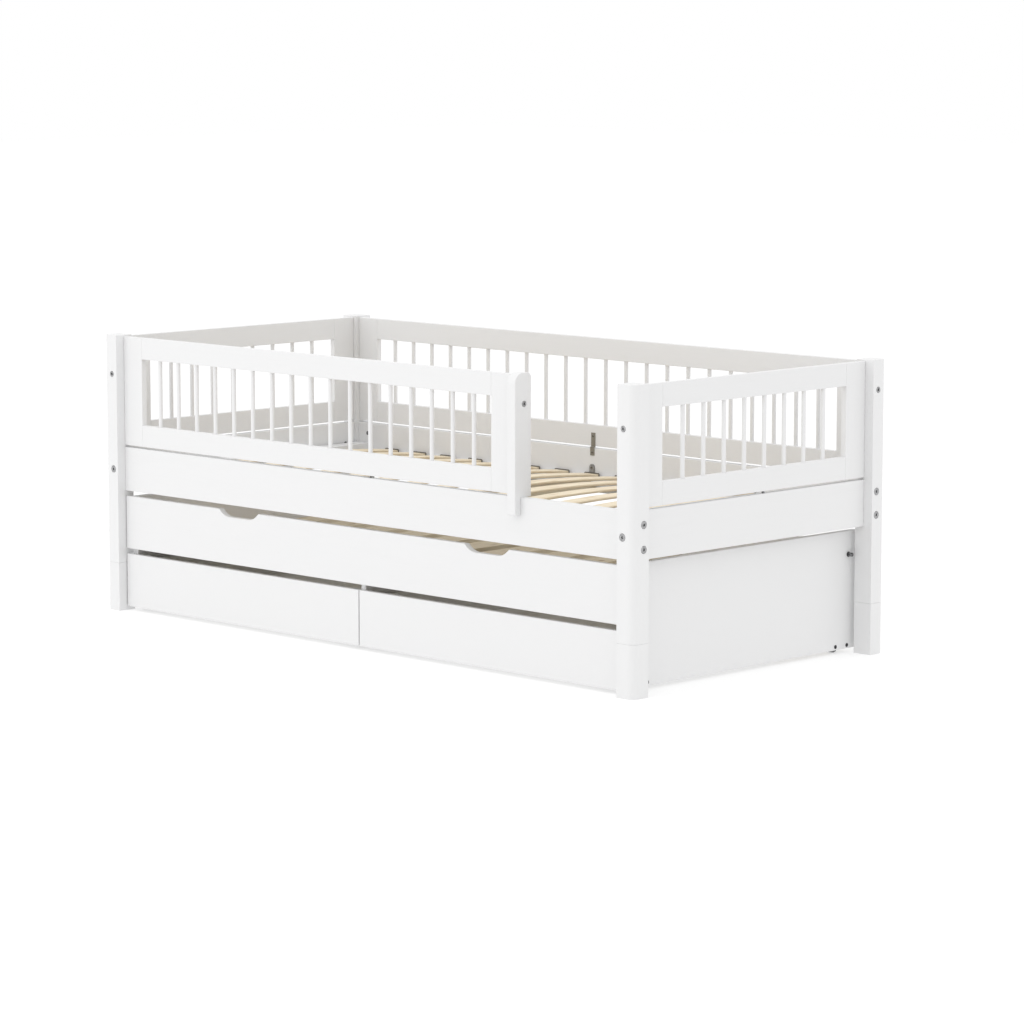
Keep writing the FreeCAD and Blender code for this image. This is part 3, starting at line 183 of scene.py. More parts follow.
class Finish:
    """One material and the few kinds of node that its pattern needs."""

    def __init__(self, name):
        self.material = bpy.data.materials.new(name)
        self.material.use_nodes = True
        self.tree = self.material.node_tree
        self.tree.nodes.clear()

    def add(self, kind, settings=None, sockets=None, out=0):
        """Add a node: its settings first, then values or links into its sockets."""
        node = self.tree.nodes.new(kind)
        for name, setting in (settings or {}).items():
            setattr(node, name, setting)
        for key, content in (sockets or {}).items():
            if isinstance(content, Value):
                self.tree.links.new(content.socket, node.inputs[key])
            else:
                node.inputs[key].default_value = content
        return Value(self, node.outputs[out])

    def place(self):
        """Position in the bed's own frame, in metres."""
        return self.add("ShaderNodeTexCoord", out="Object")

    def part(self, vector, axis):
        return self.add("ShaderNodeSeparateXYZ", sockets={"Vector": vector}, out=axis)

    def facing(self, axis):
        """How far the surface faces along an axis, from -1 to 1."""
        return self.part(self.add("ShaderNodeNewGeometry", out="Normal"), axis)

    def scaled(self, vector, factors):
        return self.add("ShaderNodeVectorMath", {"operation": "MULTIPLY"},
                        {0: vector, 1: factors})

    def moved(self, vector, shift):
        return self.add("ShaderNodeVectorMath", {"operation": "ADD"}, {0: vector, 1: shift})

    def noise(self, vector, patch, detail=2.0, rough=0.5):
        """Soft noise from 0 to 1 whose patches are about that many metres across."""
        sockets = {"Vector": vector, "Scale": 1 / patch, "Detail": detail, "Roughness": rough}
        return self.add("ShaderNodeTexNoise", {"noise_dimensions": "3D"}, sockets, "Fac")

    def openness(self, reach):
        """1 on open surfaces, falling towards 0 in sockets and corners, seen over that reach."""
        return self.add("ShaderNodeAmbientOcclusion", {"samples": 8}, {"Distance": reach}, "AO")

    def random_shift(self, number):
        """A random vector for each whole number."""
        return self.add("ShaderNodeTexWhiteNoise", {"noise_dimensions": "1D"}, {"W": number},
                        "Color")

    def step(self, value, low, high):
        """A smooth rise from 0 at low to 1 at high."""
        return self.add("ShaderNodeMapRange", {"interpolation_type": "SMOOTHSTEP"},
                        {"Value": value, "From Min": low, "From Max": high})

    def mix(self, factor, first, second):
        return self.add("ShaderNodeMix", {"data_type": "RGBA"}, {0: factor, 6: first, 7: second},
                        2)

    def bump(self, height, depth, strength=1.0):
        """A bump whose height of 1 stands that many metres proud."""
        return self.add("ShaderNodeBump",
                        sockets={"Height": height, "Distance": depth, "Strength": strength})

    def surface(self, **sockets):
        """The shader that ends the finish; names are its sockets' with _ for spaces."""
        named = {name.replace("_", " "): content for name, content in sockets.items()}
        shader = self.add("ShaderNodeBsdfPrincipled", sockets=named)
        self.add_output(shader)
        return self.material

    def add_output(self, shader):
        output = self.tree.nodes.new("ShaderNodeOutputMaterial")
        self.tree.links.new(shader.socket, output.inputs["Surface"])


def chosen(colour_property):
    return tuple(colour_property)


def stretch(axis, amount):
    """Factors that draw a pattern out along one axis."""
    return tuple(1 / amount if name == axis else 1.0 for name in "xyz")


def satin_paint(colours, along):
    """White lacquer over wood: orange peel, and a faint grain where the coat is thin."""
    finish = Finish(f"satin_white_paint_{along}")
    place = finish.place()
    grain = finish.noise(finish.scaled(place, stretch(along, 30.0)), 0.0022, 3.0, 0.6)
    growth = finish.noise(finish.scaled(place, stretch(along, 12.0)), 0.016, 2.0)
    peel = finish.noise(place, 0.0024, 1.0)
    cloud = finish.noise(place, 0.22, 3.0)
    thin = finish.step(grain * 0.6 + growth * 0.4, 0.46, 0.72)
    colour_now = finish.mix(thin * 0.22 + cloud * 0.12, chosen(colours.paint),
                            chosen(colours.paint_thin))
    roughness = 0.33 + 0.09 * cloud + 0.06 * thin
    height = peel * 0.45 + grain * 0.35 + growth * 0.2
    return finish.surface(Base_Color=colour_now, Roughness=roughness,
                          Normal=finish.bump(height, 0.00009))


def painted_board(colours, name, relief):
    """White lacquer over fine wood with no grain of its own; relief is its unevenness."""
    finish = Finish(name)
    place = finish.place()
    peel = finish.noise(place, 0.003, 1.5)
    cloud = finish.noise(place, 0.3, 3.0)
    speck = finish.noise(place, 0.0007, 2.0)
    colour_now = finish.mix(cloud * 0.16, chosen(colours.paint), chosen(colours.paint_thin))
    roughness = 0.31 + 0.1 * cloud + 0.05 * speck
    return finish.surface(Base_Color=colour_now, Roughness=roughness,
                          Normal=finish.bump(peel * 0.7 + speck * 0.3, relief))


def drawer_foil(colours):
    """White foil with a fine pore, inside the drawers."""
    finish = Finish("drawer_board_foil")
    place = finish.place()
    pore = finish.noise(finish.scaled(place, (1.0, 0.12, 0.35)), 0.0011, 2.0, 0.6)
    cloud = finish.noise(place, 0.18, 2.0)
    colour_now = finish.mix(pore * 0.25 + cloud * 0.15, chosen(colours.foil),
                            chosen(colours.paint_thin))
    return finish.surface(Base_Color=colour_now, Roughness=0.42 + 0.12 * pore,
                          Normal=finish.bump(pore, 0.00005))


def clear_wood(name, light, dark, knot, along, pitch, knots, plies=0.0, bow=0.0):
    """Bare or clear-finished wood with growth rings, fibres and knots.

    Boards that follow each other at the pitch, in metres, get each their own cut. knots is how
    common knots are, from 0 to 1. plies is the thickness of the layers on bowed slats, and bow
    the radius of their arc.
    """
    finish = Finish(name)
    place = finish.place()
    board = finish.part(place, "X") / pitch + 200.5
    number = board.math("FLOOR", board)
    shift = finish.scaled(finish.random_shift(number), (0.9, 5.0, 3.0))
    cut = finish.moved(place, shift)

    flat = {"voronoi_dimensions": "2D"}
    scatter = {"Vector": finish.scaled(cut, stretch(along, 2.2)), "Scale": 11.0}
    spots = finish.add("ShaderNodeTexVoronoi", flat, scatter, "Distance")
    cells = finish.add("ShaderNodeTexVoronoi", flat, scatter, "Color")
    has_knot = finish.step(finish.part(cells, "X"), 1.0 - knots, 1.02 - knots)
    heart = (1.0 - finish.step(spots, 0.035, 0.085)) * has_knot
    swirl = (1.0 - finish.step(spots, 0.0, 0.36)) * has_knot

    slope = finish.noise(finish.scaled(cut, stretch(along, 16.0)), 0.055, 1.0)
    rings = slope * 13.0 + swirl * 2.6
    band = rings.math("PINGPONG", rings, 0.5) * 2.0
    late = finish.step(band, 0.55, 0.97)
    fibre = finish.noise(finish.scaled(cut, stretch(along, 45.0)), 0.0017, 4.0, 0.65)
    tone = finish.noise(finish.scaled(cut, stretch(along, 5.0)), 0.09, 2.0)

    dark_part = late * 0.42 + finish.step(fibre, 0.42, 0.75) * 0.3 + tone * 0.14
    if plies:
        sag = finish.part(place, "Y") ** 2.0 * (0.5 / bow)
        layer = (finish.part(place, "Z") + sag) / plies
        sheet = layer.math("PINGPONG", layer, 1.0)
        on_edge = 1.0 - finish.step(abs(finish.facing("Z")), 0.25, 0.6)
        dark_part = dark_part * (1.0 - on_edge * 0.6) + on_edge * finish.step(sheet, 0.3, 0.6) * 0.5
    wood = finish.mix(dark_part, light, dark)
    wood = finish.mix(heart * 0.8, wood, knot)
    roughness = 0.44 + 0.12 * fibre - 0.05 * late
    height = fibre * 0.6 - late * 0.25 + heart * 0.4
    return finish.surface(Base_Color=wood, Roughness=roughness,
                          Normal=finish.bump(height, 0.00016))


def plated(name, bright, dull, recess_shade):
    """Plated steel with cloudy patches, fine scratches, and painted shade darkening its sockets and
    corners.
    """
    finish = Finish(name)
    place = finish.place()
    cloud = finish.noise(place, 0.006, 3.0, 0.6)
    scratch = finish.noise(finish.scaled(place, (1.0, 6.0, 1.0)), 0.0009, 2.0)
    metal = finish.mix(finish.step(cloud, 0.35, 0.7), bright, dull)
    # Painted shade: the recess colour is mixed in where ambient occlusion finds sockets and corners.
    metal = finish.mix(finish.step(finish.openness(0.004), 0.3, 0.8), recess_shade, metal)
    return finish.surface(Base_Color=metal, Metallic=1.0,
                          Roughness=0.3 + 0.16 * cloud + 0.08 * scratch,
                          Normal=finish.bump(scratch, 0.00002))


def dark_coat(name, coat, rubbed):
    """Dark passivated steel, rubbed brighter in patches."""
    finish = Finish(name)
    place = finish.place()
    rub = finish.step(finish.noise(place, 0.004, 3.0, 0.6), 0.5, 0.8)
    metal = finish.mix(rub * 0.5, coat, rubbed)
    return finish.surface(Base_Color=metal, Metallic=0.85, Roughness=0.34 + 0.14 * rub,
                          Normal=finish.bump(rub, 0.00002))


def moulded(name, tint, grain_depth):
    """Moulded plastic with a fine spark-eroded grain."""
    finish = Finish(name)
    place = finish.place()
    grain = finish.noise(place, 0.0006, 2.0)
    cloud = finish.noise(place, 0.01, 2.0)
    darker = tuple(part * 0.8 for part in tint[:3]) + (1.0,)
    return finish.surface(Base_Color=finish.mix(cloud * 0.5, tint, darker),
                          Roughness=0.42 + 0.14 * grain, Normal=finish.bump(grain, grain_depth))


def give_finish(material, *names):
    """Put a material on CAD nodes, in every slot that they have."""
    for name in names:
        mesh = nodes[name].data
        if not mesh.materials:
            mesh.materials.append(material)
        for index in range(len(mesh.materials)):
            mesh.materials[index] = material


# ---------------------------------------------------------------- mesh helpers


def new_piece(name, mesh_maker, material, body):
    """A piece from a bmesh, smooth where it turns softly, riding on its CAD body."""
    mesh = bpy.data.meshes.new(name)
    work = bmesh.new()
    mesh_maker(work)
    bmesh.ops.recalc_face_normals(work, faces=work.faces)
    work.to_mesh(mesh)
    work.free()
    mesh.materials.append(material)
    mesh.shade_smooth()
    mesh.set_sharp_from_angle(angle=radians(34))
    piece = bpy.data.objects.new(name, mesh)
    bpy.context.scene.collection.objects.link(piece)
    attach(piece, body)
    return piece


def bridge(work, made):
    """Quads between each ring of vertices and the next."""
    for first, second in zip(made, made[1:]):
        for index in range(len(first)):
            after = (index + 1) % len(first)
            work.faces.new((first[index], first[after], second[after], second[index]))


def skin(work, rings):
    """Quads between rings of points that have the same count, with a cap on each end."""
    made = [[work.verts.new(point) for point in ring] for ring in rings]
    bridge(work, made)
    work.faces.new(list(reversed(made[0])))
    work.faces.new(made[-1])


def lathe(work, profile, turn_to, count, closed=False):
    """Turn a profile of (radius, height) pairs round Z and move it by a matrix."""
    made = []
    for radius, height in profile:
        ring = []
        for step in range(count):
            angle = 2 * pi * step / count
            point = turn_to @ Vector((radius * cos(angle), radius * sin(angle), height))
            ring.append(work.verts.new(point))
        made.append(ring)
    if closed:
        made.append(made[0])
    bridge(work, made)
    return made


def islands(node):
    """Lowest and highest corner of each separate solid of a CAD node."""
    mesh = nodes[node].data
    keys = {}
    parent = list(range(len(mesh.vertices)))

    def root(index):
        while parent[index] != index:
            parent[index] = parent[parent[index]]
            index = parent[index]
        return index

    for vertex in mesh.vertices:
        key = tuple(round(part, 6) for part in vertex.co)
        if key in keys:
            parent[root(vertex.index)] = root(keys[key])
        else:
            keys[key] = vertex.index
    for edge in mesh.edges:
        parent[root(edge.vertices[0])] = root(edge.vertices[1])
    boxes = {}
    for vertex in mesh.vertices:
        group = boxes.setdefault(root(vertex.index), [vertex.co.copy(), vertex.co.copy()])
        for axis in range(3):
            group[0][axis] = min(group[0][axis], vertex.co[axis])
            group[1][axis] = max(group[1][axis], vertex.co[axis])
    return list(boxes.values())


# ---------------------------------------------------------------- operators: paint and wood


PAINTED = {
    "x": ("bed_rail_front", "bed_rail_rear", "front_guard_rails", "rear_guard_rails",
          "trundle_front", "slat_ledges"),
    "y": ("bed_rail_left", "bed_rail_right", "left_guard_rails", "right_guard_rails",
          "slat_end_boards"),
    "z": ("post_front_left", "post_front_right", "post_rear_left", "post_rear_right",
          "leg_extensions", "guard_support_post", "front_guard_stiles", "rear_guard_stiles",
          "left_guard_stiles", "right_guard_stiles"),
}
PAINTED_BOARDS = ("trundle_panel_left", "trundle_panel_right", "trundle_back_board",
                  "trundle_divider", "left_drawer_front", "right_drawer_front")
LEFT_CASTORS_END = -0.1   # the castors left of this have screws that look to the left
SPINDLES = ("front_guard_spindles", "rear_guard_spindles", "left_guard_spindles",
            "right_guard_spindles")


class BED_OT_paint_woodwork(bpy.types.Operator):
    """Paint the posts, rails, guards and fronts white"""

    bl_idname = "bed.paint_woodwork"
    bl_label = "Paint the woodwork"

    def execute(self, context):
        colours = context.scene.bed_colours
        for along, names in PAINTED.items():
            give_finish(satin_paint(colours, along), *names)
        give_finish(painted_board(colours, "satin_white_board", 0.00007), *PAINTED_BOARDS)
        give_finish(painted_board(colours, "satin_white_spindle", 0.00001), *SPINDLES)
        return {"FINISHED"}


class BED_OT_finish_drawers(bpy.types.Operator):
    """Cover the drawer boxes with white foil"""

    bl_idname = "bed.finish_drawers"
    bl_label = "Finish the drawer boxes"

    def execute(self, context):
        colours = context.scene.bed_colours
        give_finish(drawer_foil(colours), "left_drawer_walls", "right_drawer_walls",
                    "left_drawer_bottom", "right_drawer_bottom")
        return {"FINISHED"}


class BED_OT_finish_pine(bpy.types.Operator):
    """Give the guest bed's boards, the cleats and the cross beam bare pine"""

    bl_idname = "bed.finish_pine"
    bl_label = "Finish the pine"

    def execute(self, context):
        colours = context.scene.bed_colours
        light, dark, knot = (chosen(tint) for tint in
                             (colours.pine, colours.pine_grain, colours.knot))
        boards = clear_wood("bare_pine_across", light, dark, knot, "y", 0.15, 0.3)
        give_finish(boards, "trundle_slats", "centre_beam")
        strips = clear_wood("bare_pine_along", light, dark, knot, "x", 3.0, 0.2)
        give_finish(strips, "trundle_cleats")
        return {"FINISHED"}


class BED_OT_build_slats(bpy.types.Operator):
    """Build the bowed slats with rounded edges"""

    bl_idname = "bed.build_slats"
    bl_label = "Build the bowed slats"

    def execute(self, context):
        colours = context.scene.bed_colours
        sizes = context.scene.bed_sizes
        wood = clear_wood("clear_finished_slats", chosen(colours.slat),
                          chosen(colours.slat_grain), chosen(colours.knot), "y", 0.12, 0.16,
                          plies=0.0014, bow=slat_bow(sizes)[1])
        piece = new_piece("bowed_slats", lambda work: bowed_slats(work, sizes), wood,
                          "bed_frame")
        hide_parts("bed_slats")
        return {"FINISHED"}


def slat_section(half_width, thick, rounding, turns=4):
    """Rounded outline of a slat, as (across, height) pairs."""
    outline = []
    corners = (
        (half_width - rounding, thick - rounding, 0),
        (rounding - half_width, thick - rounding, 1),
        (rounding - half_width, rounding, 2),
        (half_width - rounding, rounding, 3),
    )
    for across, height, quarter in corners:
        for step in range(turns + 1):
            angle = pi / 2 * (quarter + step / turns)
            outline.append((across + rounding * cos(angle), height + rounding * sin(angle)))
    return outline


def slat_bow(sizes):
    """Rise of the slats at their middle, and the radius of their arc."""
    crown = slats_high.z - slats_low.z - sizes.slat_thick
    return crown, (slats_high.y ** 2 + crown ** 2) / (2 * crown)


def bowed_slats(work, sizes):
    """Slats that rise in an arc between their ends, spaced evenly over the CAD slats' length."""
    reach = slats_high.y
    base = slats_low.z
    crown, radius = slat_bow(sizes)
    outline = slat_section(sizes.slat_width / 2, sizes.slat_thick, sizes.slat_round)
    first = slats_low.x + sizes.slat_width / 2
    pitch = (slats_high.x - slats_low.x - sizes.slat_width) / (sizes.slat_count - 1)
    ease = 0.0012
    stations = [(-reach, 0.88), (ease - reach, 1.0)]
    stations += [(reach * (step / 14 - 1), 1.0) for step in range(1, 28)]
    stations += [(reach - ease, 1.0), (reach, 0.88)]
    middle = sizes.slat_thick / 2
    for index in range(sizes.slat_count):
        centre = first + index * pitch
        rings = []
        for along, shrink in stations:
            rise = crown - radius + (radius ** 2 - along ** 2) ** 0.5
            trim = (1.0 - shrink) * middle
            ring = []
            for across, height in outline:
                side = across - trim if across > 0 else across + trim
                level = middle + (height - middle) * shrink
                ring.append(Vector((centre + side, along, base + rise + level)))
            rings.append(ring)
        skin(work, rings)


# ---------------------------------------------------------------- operators: steel and castors


class BED_OT_finish_steel(bpy.types.Operator):
    """Plate the bolts, nuts, studs, runners and castor steel, and coat the ties and wires"""

    bl_idname = "bed.finish_steel"
    bl_label = "Finish the steelwork"

    def execute(self, context):
        colours = context.scene.bed_colours
        dull, recess_shade = chosen(colours.zinc_dull), chosen(colours.recess_shade)
        zinc = plated("zinc_plated_steel", chosen(colours.zinc), dull, recess_shade)
        give_finish(zinc, "rail_bolts", "guard_screws", "beam_hangers", "castor_plates",
                    "castor_axles", "drawer_runners", "left_drawer_runners",
                    "right_drawer_runners")
        graphite = plated("graphite_steel", chosen(colours.graphite), dull, recess_shade)
        # Painted shade: the barrel nuts get near-black graphite instead of zinc, so that they read as
        # the shaded holes they sit in.
        give_finish(graphite, "rail_barrel_nuts", "frame_studs")
        give_finish(dark_coat("dark_wire", chosen(colours.dark_steel), dull), "slat_stirrups")
        give_finish(dark_coat("coated_plate", chosen(colours.tie_steel), dull), "tie_plates")
        return {"FINISHED"}


class BED_OT_build_screws(bpy.types.Operator):
    """Build the small screws with domed heads and cross recesses"""

    bl_idname = "bed.build_screws"
    bl_label = "Build the small screws"

    def execute(self, context):
        colours = context.scene.bed_colours
        sizes = context.scene.bed_sizes
        recess_shade = chosen(colours.recess_shade)
        black = plated("graphite_screws", chosen(colours.graphite), chosen(colours.graphite),
                       recess_shade)
        coated = plated("coated_screws", chosen(colours.tie_steel), chosen(colours.dark_steel),
                        recess_shade)
        for node, body, head, finish in (
            ("castor_screws", "trundle", sizes.castor_screw_head, black),
            ("plate_screws", "bed_frame", sizes.screw_head, coated),
        ):
            piece = new_piece(f"cross_head_{node}",
                              lambda work: screws_of(work, node, sizes, head), finish, body)
            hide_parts(node)
        return {"FINISHED"}


def screws_of(work, node, sizes, head):
    """A screw in the place of each solid of a CAD node of screws; head is its head's radius."""
    for low, high in islands(node):
        spans = high - low
        axis = max(range(3), key=lambda index: spans[index])
        centre = (low + high) / 2
        outward = head_side(node, centre, axis)
        top = Vector(centre)
        top[axis] = high[axis] if outward > 0 else low[axis]
        direction = Vector((0, 0, 0))
        direction[axis] = outward
        turn = direction.to_track_quat("Z", "Y").to_matrix().to_4x4()
        cross_head_screw(work, Matrix.Translation(top) @ turn, spans[axis], sizes, head)


def head_side(node, centre, axis):
    """+1 or -1: the way along the axis that a screw's head looks."""
    if node == "castor_screws":
        return 1 if centre[axis] > LEFT_CASTORS_END else -1
    return -1 if centre[axis] > 0 else 1


def cross_head_screw(work, turn, reach, sizes, radius):
    """A screw whose head's top is at zero and whose shank runs down along -Z."""
    high = sizes.screw_head_high
    count = 24
    profile = [(sizes.screw_shank * 0.3, -reach), (sizes.screw_shank * 0.7, -reach + 0.0004),
               (sizes.screw_shank, -reach + 0.0014), (sizes.screw_shank, -high),
               (radius * 0.96, -high), (radius, -high * 0.86), (radius, -high * 0.62),
               (radius * 0.93, -high * 0.3), (radius * 0.8, -high * 0.1), (radius * 0.66, 0.0)]
    made = lathe(work, profile, turn, count)
    work.faces.new(list(reversed(made[0])))
    arm, half = radius * 0.52, radius * 0.13
    corners = [(arm, -half), (arm, half), (half, half), (half, arm), (-half, arm), (-half, half),
               (-arm, half), (-arm, -half), (-half, -half), (-half, -arm), (half, -arm),
               (half, -half)]
    rim = [work.verts.new(turn @ Vector((x, y, 0.0))) for x, y in corners]
    floor = [work.verts.new(turn @ Vector((x * 0.7, y * 0.7, -high * 0.7))) for x, y in corners]
    sides = len(corners)
    edges = [work.edges.new((rim[index], rim[(index + 1) % sides])) for index in range(sides)]
    top = made[-1]
    for index in range(count):
        edges.append(work.edges.get((top[index], top[(index + 1) % count])))
    bmesh.ops.triangle_fill(work, use_beauty=True, edges=edges)
    walls = zip(rim, rim[1:] + rim[:1], floor[1:] + floor[:1], floor)
    for wall in walls:
        work.faces.new(wall)
    work.faces.new(floor)
    for face in [face for face in work.faces if set(face.verts) == set(rim)]:
        work.faces.remove(face)


class BED_OT_build_stop_pins(bpy.types.Operator):
    """Build the stop pins with their collars"""

    bl_idname = "bed.build_stop_pins"
    bl_label = "Build the stop pins"

    def execute(self, context):
        colours = context.scene.bed_colours
        sizes = context.scene.bed_sizes
        recess_shade = chosen(colours.recess_shade)
        shank_finish = plated("stop_pin_steel", chosen(colours.zinc_dull),
                              chosen(colours.graphite), recess_shade)
        collar_finish = plated("stop_pin_collar_steel", chosen(colours.graphite),
                               chosen(colours.graphite), recess_shade)
        shanks = new_piece("chamfered_stop_pins", lambda work: pin_shanks(work, sizes),
                           shank_finish, "trundle")
        new_piece("stop_pin_collars", lambda work: pin_collars(work, sizes), collar_finish,
                  "trundle")
        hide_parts("stop_pins")
        return {"FINISHED"}


def pin_turns():
    """For each stop pin, a turn that puts its outer end at zero, looking along +Z, and its length."""
    turns = []
    for low, high in islands("stop_pins"):
        centre = (low + high) / 2
        outward = 1 if centre.x > 0 else -1
        tip = Vector((high.x if outward > 0 else low.x, centre.y, centre.z))
        spin = Matrix.Rotation(outward * pi / 2, 4, "Y")
        turns.append((Matrix.Translation(tip) @ spin, high.x - low.x))
    return turns


def pin_shanks(work, sizes):
    """Chamfered shanks with a groove near the tip and a dimple in its end."""
    radius, ease = sizes.pin_radius, 0.0008
    groove_start, groove_end, groove_radius = -0.0052, -0.003, radius * 0.86
    floor_start, floor_end, dimple_depth = -0.0046, -0.0036, 0.0006
    for turn, reach in pin_turns():
        profile = [(radius - ease, -reach), (radius, ease - reach), (radius, groove_start),
                   (groove_radius, floor_start), (groove_radius, floor_end),
                   (radius, groove_end), (radius, -ease), (radius - ease, 0.0),
                   (radius * 0.5, 0.0), (radius * 0.4, -dimple_depth)]
        made = lathe(work, profile, turn, 40)
        work.faces.new(list(reversed(made[0])))
        work.faces.new(made[-1])


def pin_collars(work, sizes):
    """Rings round the shanks, on the outer faces of the end panels."""
    foot = -sizes.pin_proud
    high = foot + sizes.pin_collar_high
    lowest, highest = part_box("stop_pins")
    outer = (highest.z - lowest.z) / 2
    shank_play, ease = 0.00005, 0.0005
    inner = sizes.pin_radius + shank_play
    profile = [(inner, foot), (outer - ease, foot), (outer, foot + ease), (outer, high - ease),
               (outer - ease, high), (inner, high)]
    for turn, _ in pin_turns():
        lathe(work, profile, turn, 40, closed=True)


class BED_OT_build_castor_wheels(bpy.types.Operator):
    """Build the castor wheels with tyre, ribs and hub"""

    bl_idname = "bed.build_castor_wheels"
    bl_label = "Build the castor wheels"

    def execute(self, context):
        colours = context.scene.bed_colours
        sizes = context.scene.bed_sizes
        hub_finish = moulded("castor_nylon_hub", chosen(colours.nylon), 0.00002)
        tyre_finish = moulded("castor_tyre", chosen(colours.tyre), 0.00004)
        for name in CASTORS:
            low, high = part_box(name)
            centre = (low + high) / 2
            turn = Matrix.Translation(centre) @ Matrix.Rotation(pi / 2, 4, "Y")
            tyre = new_piece(f"{name}_tyre", lambda work: tyre_ring(work, turn, sizes),
                             tyre_finish, name)
            new_piece(f"{name}_hub", lambda work: ribbed_hub(work, turn, sizes),
                      hub_finish, name)
            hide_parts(name)
        return {"FINISHED"}


def wheel_sizes():
    """Radius and half width of the CAD wheels."""
    radius = (wheel_high.z - wheel_low.z) / 2
    half = (wheel_high.x - wheel_low.x) / 2
    return radius, half


def tyre_ring(work, turn, sizes):
    """The soft tread, with rounded shoulders and a shallow groove round its middle."""
    radius, half = wheel_sizes()
    inner = radius - sizes.tyre_thick
    shoulder = 0.0026
    groove_half, groove_floor, groove_depth = 0.0014, 0.0008, 0.0005
    profile = [(inner, -half * 0.9)]
    for step in range(7):
        angle = -pi / 2 + pi / 2 * step / 6
        profile.append((radius - shoulder + shoulder * cos(angle),
                        -half + shoulder + shoulder * sin(angle)))
    profile += [(radius, -groove_half), (radius - groove_depth, -groove_floor),
                (radius - groove_depth, groove_floor), (radius, groove_half)]
    for step in range(7):
        angle = pi / 2 * step / 6
        profile.append((radius - shoulder + shoulder * cos(angle),
                        half - shoulder + shoulder * sin(angle)))
    profile.append((inner, half * 0.9))
    lathe(work, profile, turn, 56, closed=True)


def ribbed_hub(work, turn, sizes):
    """Rim, web, ribs and hub of a castor wheel, bored for its axle."""
    radius, half = wheel_sizes()
    bore = WHEEL_BORE
    tyre_play, rim_thick = 0.00005, 0.0016
    rim_out = radius - sizes.tyre_thick - tyre_play
    rim_in = rim_out - rim_thick
    hub, web = sizes.hub_radius, sizes.web_thick / 2
    rim_half = half * 0.84
    ease = 0.0004
    rib_sunk, rib_half = 0.0002, 0.0009
    profile = [(bore, ease - half), (bore + ease, -half), (hub - ease, -half), (hub, ease - half),
               (hub, -web), (rim_in, -web), (rim_in, ease - rim_half),
               (rim_in + ease, -rim_half), (rim_out, -rim_half), (rim_out, rim_half),
               (rim_in + ease, rim_half), (rim_in, rim_half - ease), (rim_in, web), (hub, web),
               (hub, half - ease), (hub - ease, half), (bore + ease, half), (bore, half - ease)]
    lathe(work, profile, turn, 48, closed=True)
    for index in range(sizes.spoke_count):
        spin = turn @ Matrix.Rotation(2 * pi * index / sizes.spoke_count, 4, "Z")
        for side in (-1, 1):
            rib(work, spin, hub - rib_sunk, rim_in + rib_sunk, side * web * 0.9,
                side * rim_half * 0.8, rib_half)


def rib(work, turn, inner, outer, low, high, half):
    """A rib from hub to rim, narrower at its top."""
    rings = []
    for level, width in ((low, half), (high * 0.96, half * 0.8), (high, half * 0.6)):
        rings.append([turn @ Vector(corner) for corner in
                      ((inner, -width, level), (outer, -width, level), (outer, width, level),
                       (inner, width, level))])
    skin(work, rings)


# ---------------------------------------------------------------- operator: stage


class BED_OT_set_stage(bpy.types.Operator):
    """Set the floor, the lights and the camera"""

    bl_idname = "bed.set_stage"
    bl_label = "Set the stage"

    def execute(self, context):
        scene = context.scene
        stage = scene.bed_stage
        make_floor(stage)
        scene.world = make_sky(stage)
        soft_box("front_softbox", (-2.6, -6.5, 3.4), 5.0, stage.front_light)
        soft_box("side_softbox", (7.0, 1.5, 3.2), 4.0, stage.side_light)
        soft_box("top_softbox", (0.0, -0.6, 5.2), 5.0, stage.top_light)
        scene.view_settings.view_transform = "Standard"
        scene.view_settings.look = "None"
        view = bpy.data.cameras.new("bed_camera")
        view.sensor_width = 36.0
        view.lens = stage.camera_lens
        view.clip_end = 200.0
        camera = bpy.data.objects.new("bed_camera", view)
        camera.location = stage.camera_place
        camera.rotation_euler = Euler(stage.camera_turn)
        scene.collection.objects.link(camera)
        scene.camera = camera
        return {"FINISHED"}


def make_floor(stage):
    """A wide pale floor that gives off part of its own light, so shadows stay soft."""
    finish = Finish("pale_floor")
    shader = finish.add("ShaderNodeBsdfPrincipled", sockets={
        "Base Color": (0.5, 0.5, 0.5, 1.0), "Roughness": 0.9,
        "Specular IOR Level": 0.0,
        "Emission Color": (1.0, 1.0, 1.0, 1.0), "Emission Strength": stage.floor_glow})
    finish.add_output(shader)
    mesh = bpy.data.meshes.new("floor")
    work = bmesh.new()
    bmesh.ops.create_grid(work, x_segments=8, y_segments=8, size=stage.floor_reach)
    work.to_mesh(mesh)
    work.free()
    mesh.materials.append(finish.material)
    floor = bpy.data.objects.new("floor", mesh)
    bpy.context.scene.collection.objects.link(floor)


def make_sky(stage):
    world = bpy.data.worlds.new("even_sky")
    world.use_nodes = True
    background = world.node_tree.nodes["Background"]
    background.inputs["Color"].default_value = (1.0, 1.0, 1.0, 1.0)
    background.inputs["Strength"].default_value = stage.sky
    return world


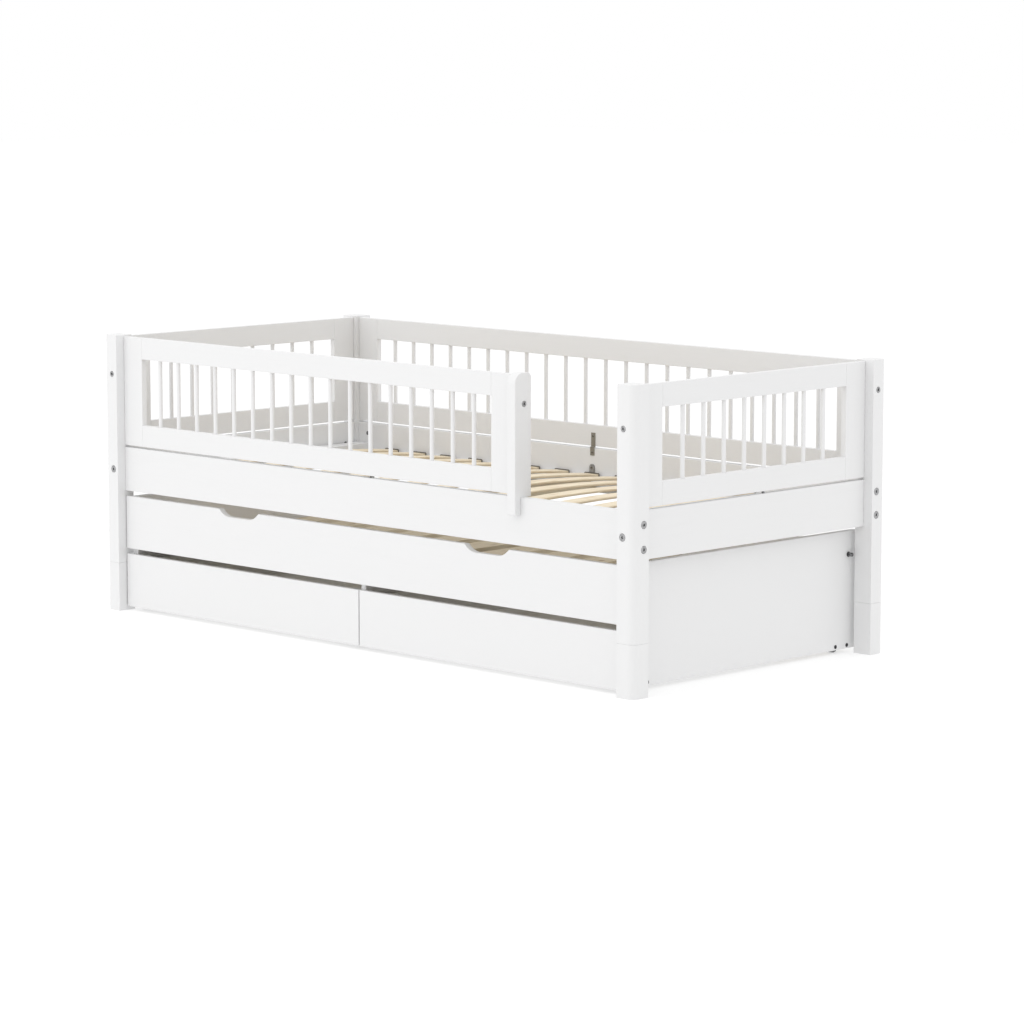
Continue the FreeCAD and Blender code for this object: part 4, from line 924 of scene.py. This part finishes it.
def soft_box(name, place, side, power):
    """A large square light that looks at the middle of the bed."""
    light = bpy.data.lights.new(name, "AREA")
    light.shape = "SQUARE"
    light.size = side
    light.energy = power
    lamp = bpy.data.objects.new(name, light)
    lamp.location = place
    target = Vector((0.0, 0.0, 0.4))
    lamp.rotation_euler = (target - Vector(place)).to_track_quat("-Z", "Y").to_euler()
    bpy.context.scene.collection.objects.link(lamp)


# ---------------------------------------------------------------- panel and registration


OPERATORS = (BED_OT_paint_woodwork, BED_OT_finish_drawers, BED_OT_finish_pine, BED_OT_build_slats,
             BED_OT_finish_steel, BED_OT_build_screws, BED_OT_build_stop_pins,
             BED_OT_build_castor_wheels, BED_OT_set_stage)


class BED_PT_maker(bpy.types.Panel):
    """The bed's settings and the steps that make it."""

    bl_label = "Guard Rail Bed"
    bl_idname = "BED_PT_maker"
    bl_space_type = "VIEW_3D"
    bl_region_type = "UI"
    bl_category = "Bed"

    def draw(self, context):
        for settings in (context.scene.bed_sizes, context.scene.bed_colours,
                         context.scene.bed_stage):
            group = self.layout.column(align=True)
            for name in settings.__annotations__:
                group.prop(settings, name)
        for operator in OPERATORS:
            self.layout.operator(operator.bl_idname)


CLASSES = (BedColours, BedSizes, BedStage, *OPERATORS, BED_PT_maker)


def register():
    for item in CLASSES:
        bpy.utils.register_class(item)
    bpy.types.Scene.bed_colours = PointerProperty(type=BedColours)
    bpy.types.Scene.bed_sizes = PointerProperty(type=BedSizes)
    bpy.types.Scene.bed_stage = PointerProperty(type=BedStage)


def unregister():
    del bpy.types.Scene.bed_stage
    del bpy.types.Scene.bed_sizes
    del bpy.types.Scene.bed_colours
    for item in reversed(CLASSES):
        bpy.utils.unregister_class(item)


def main():
    register()
    bpy.ops.bed.paint_woodwork()
    bpy.ops.bed.finish_drawers()
    bpy.ops.bed.finish_pine()
    bpy.ops.bed.build_slats()
    bpy.ops.bed.finish_steel()
    bpy.ops.bed.build_screws()
    bpy.ops.bed.build_stop_pins()
    bpy.ops.bed.build_castor_wheels()
    bpy.ops.bed.set_stage()


if __name__ == "__main__":
    main()
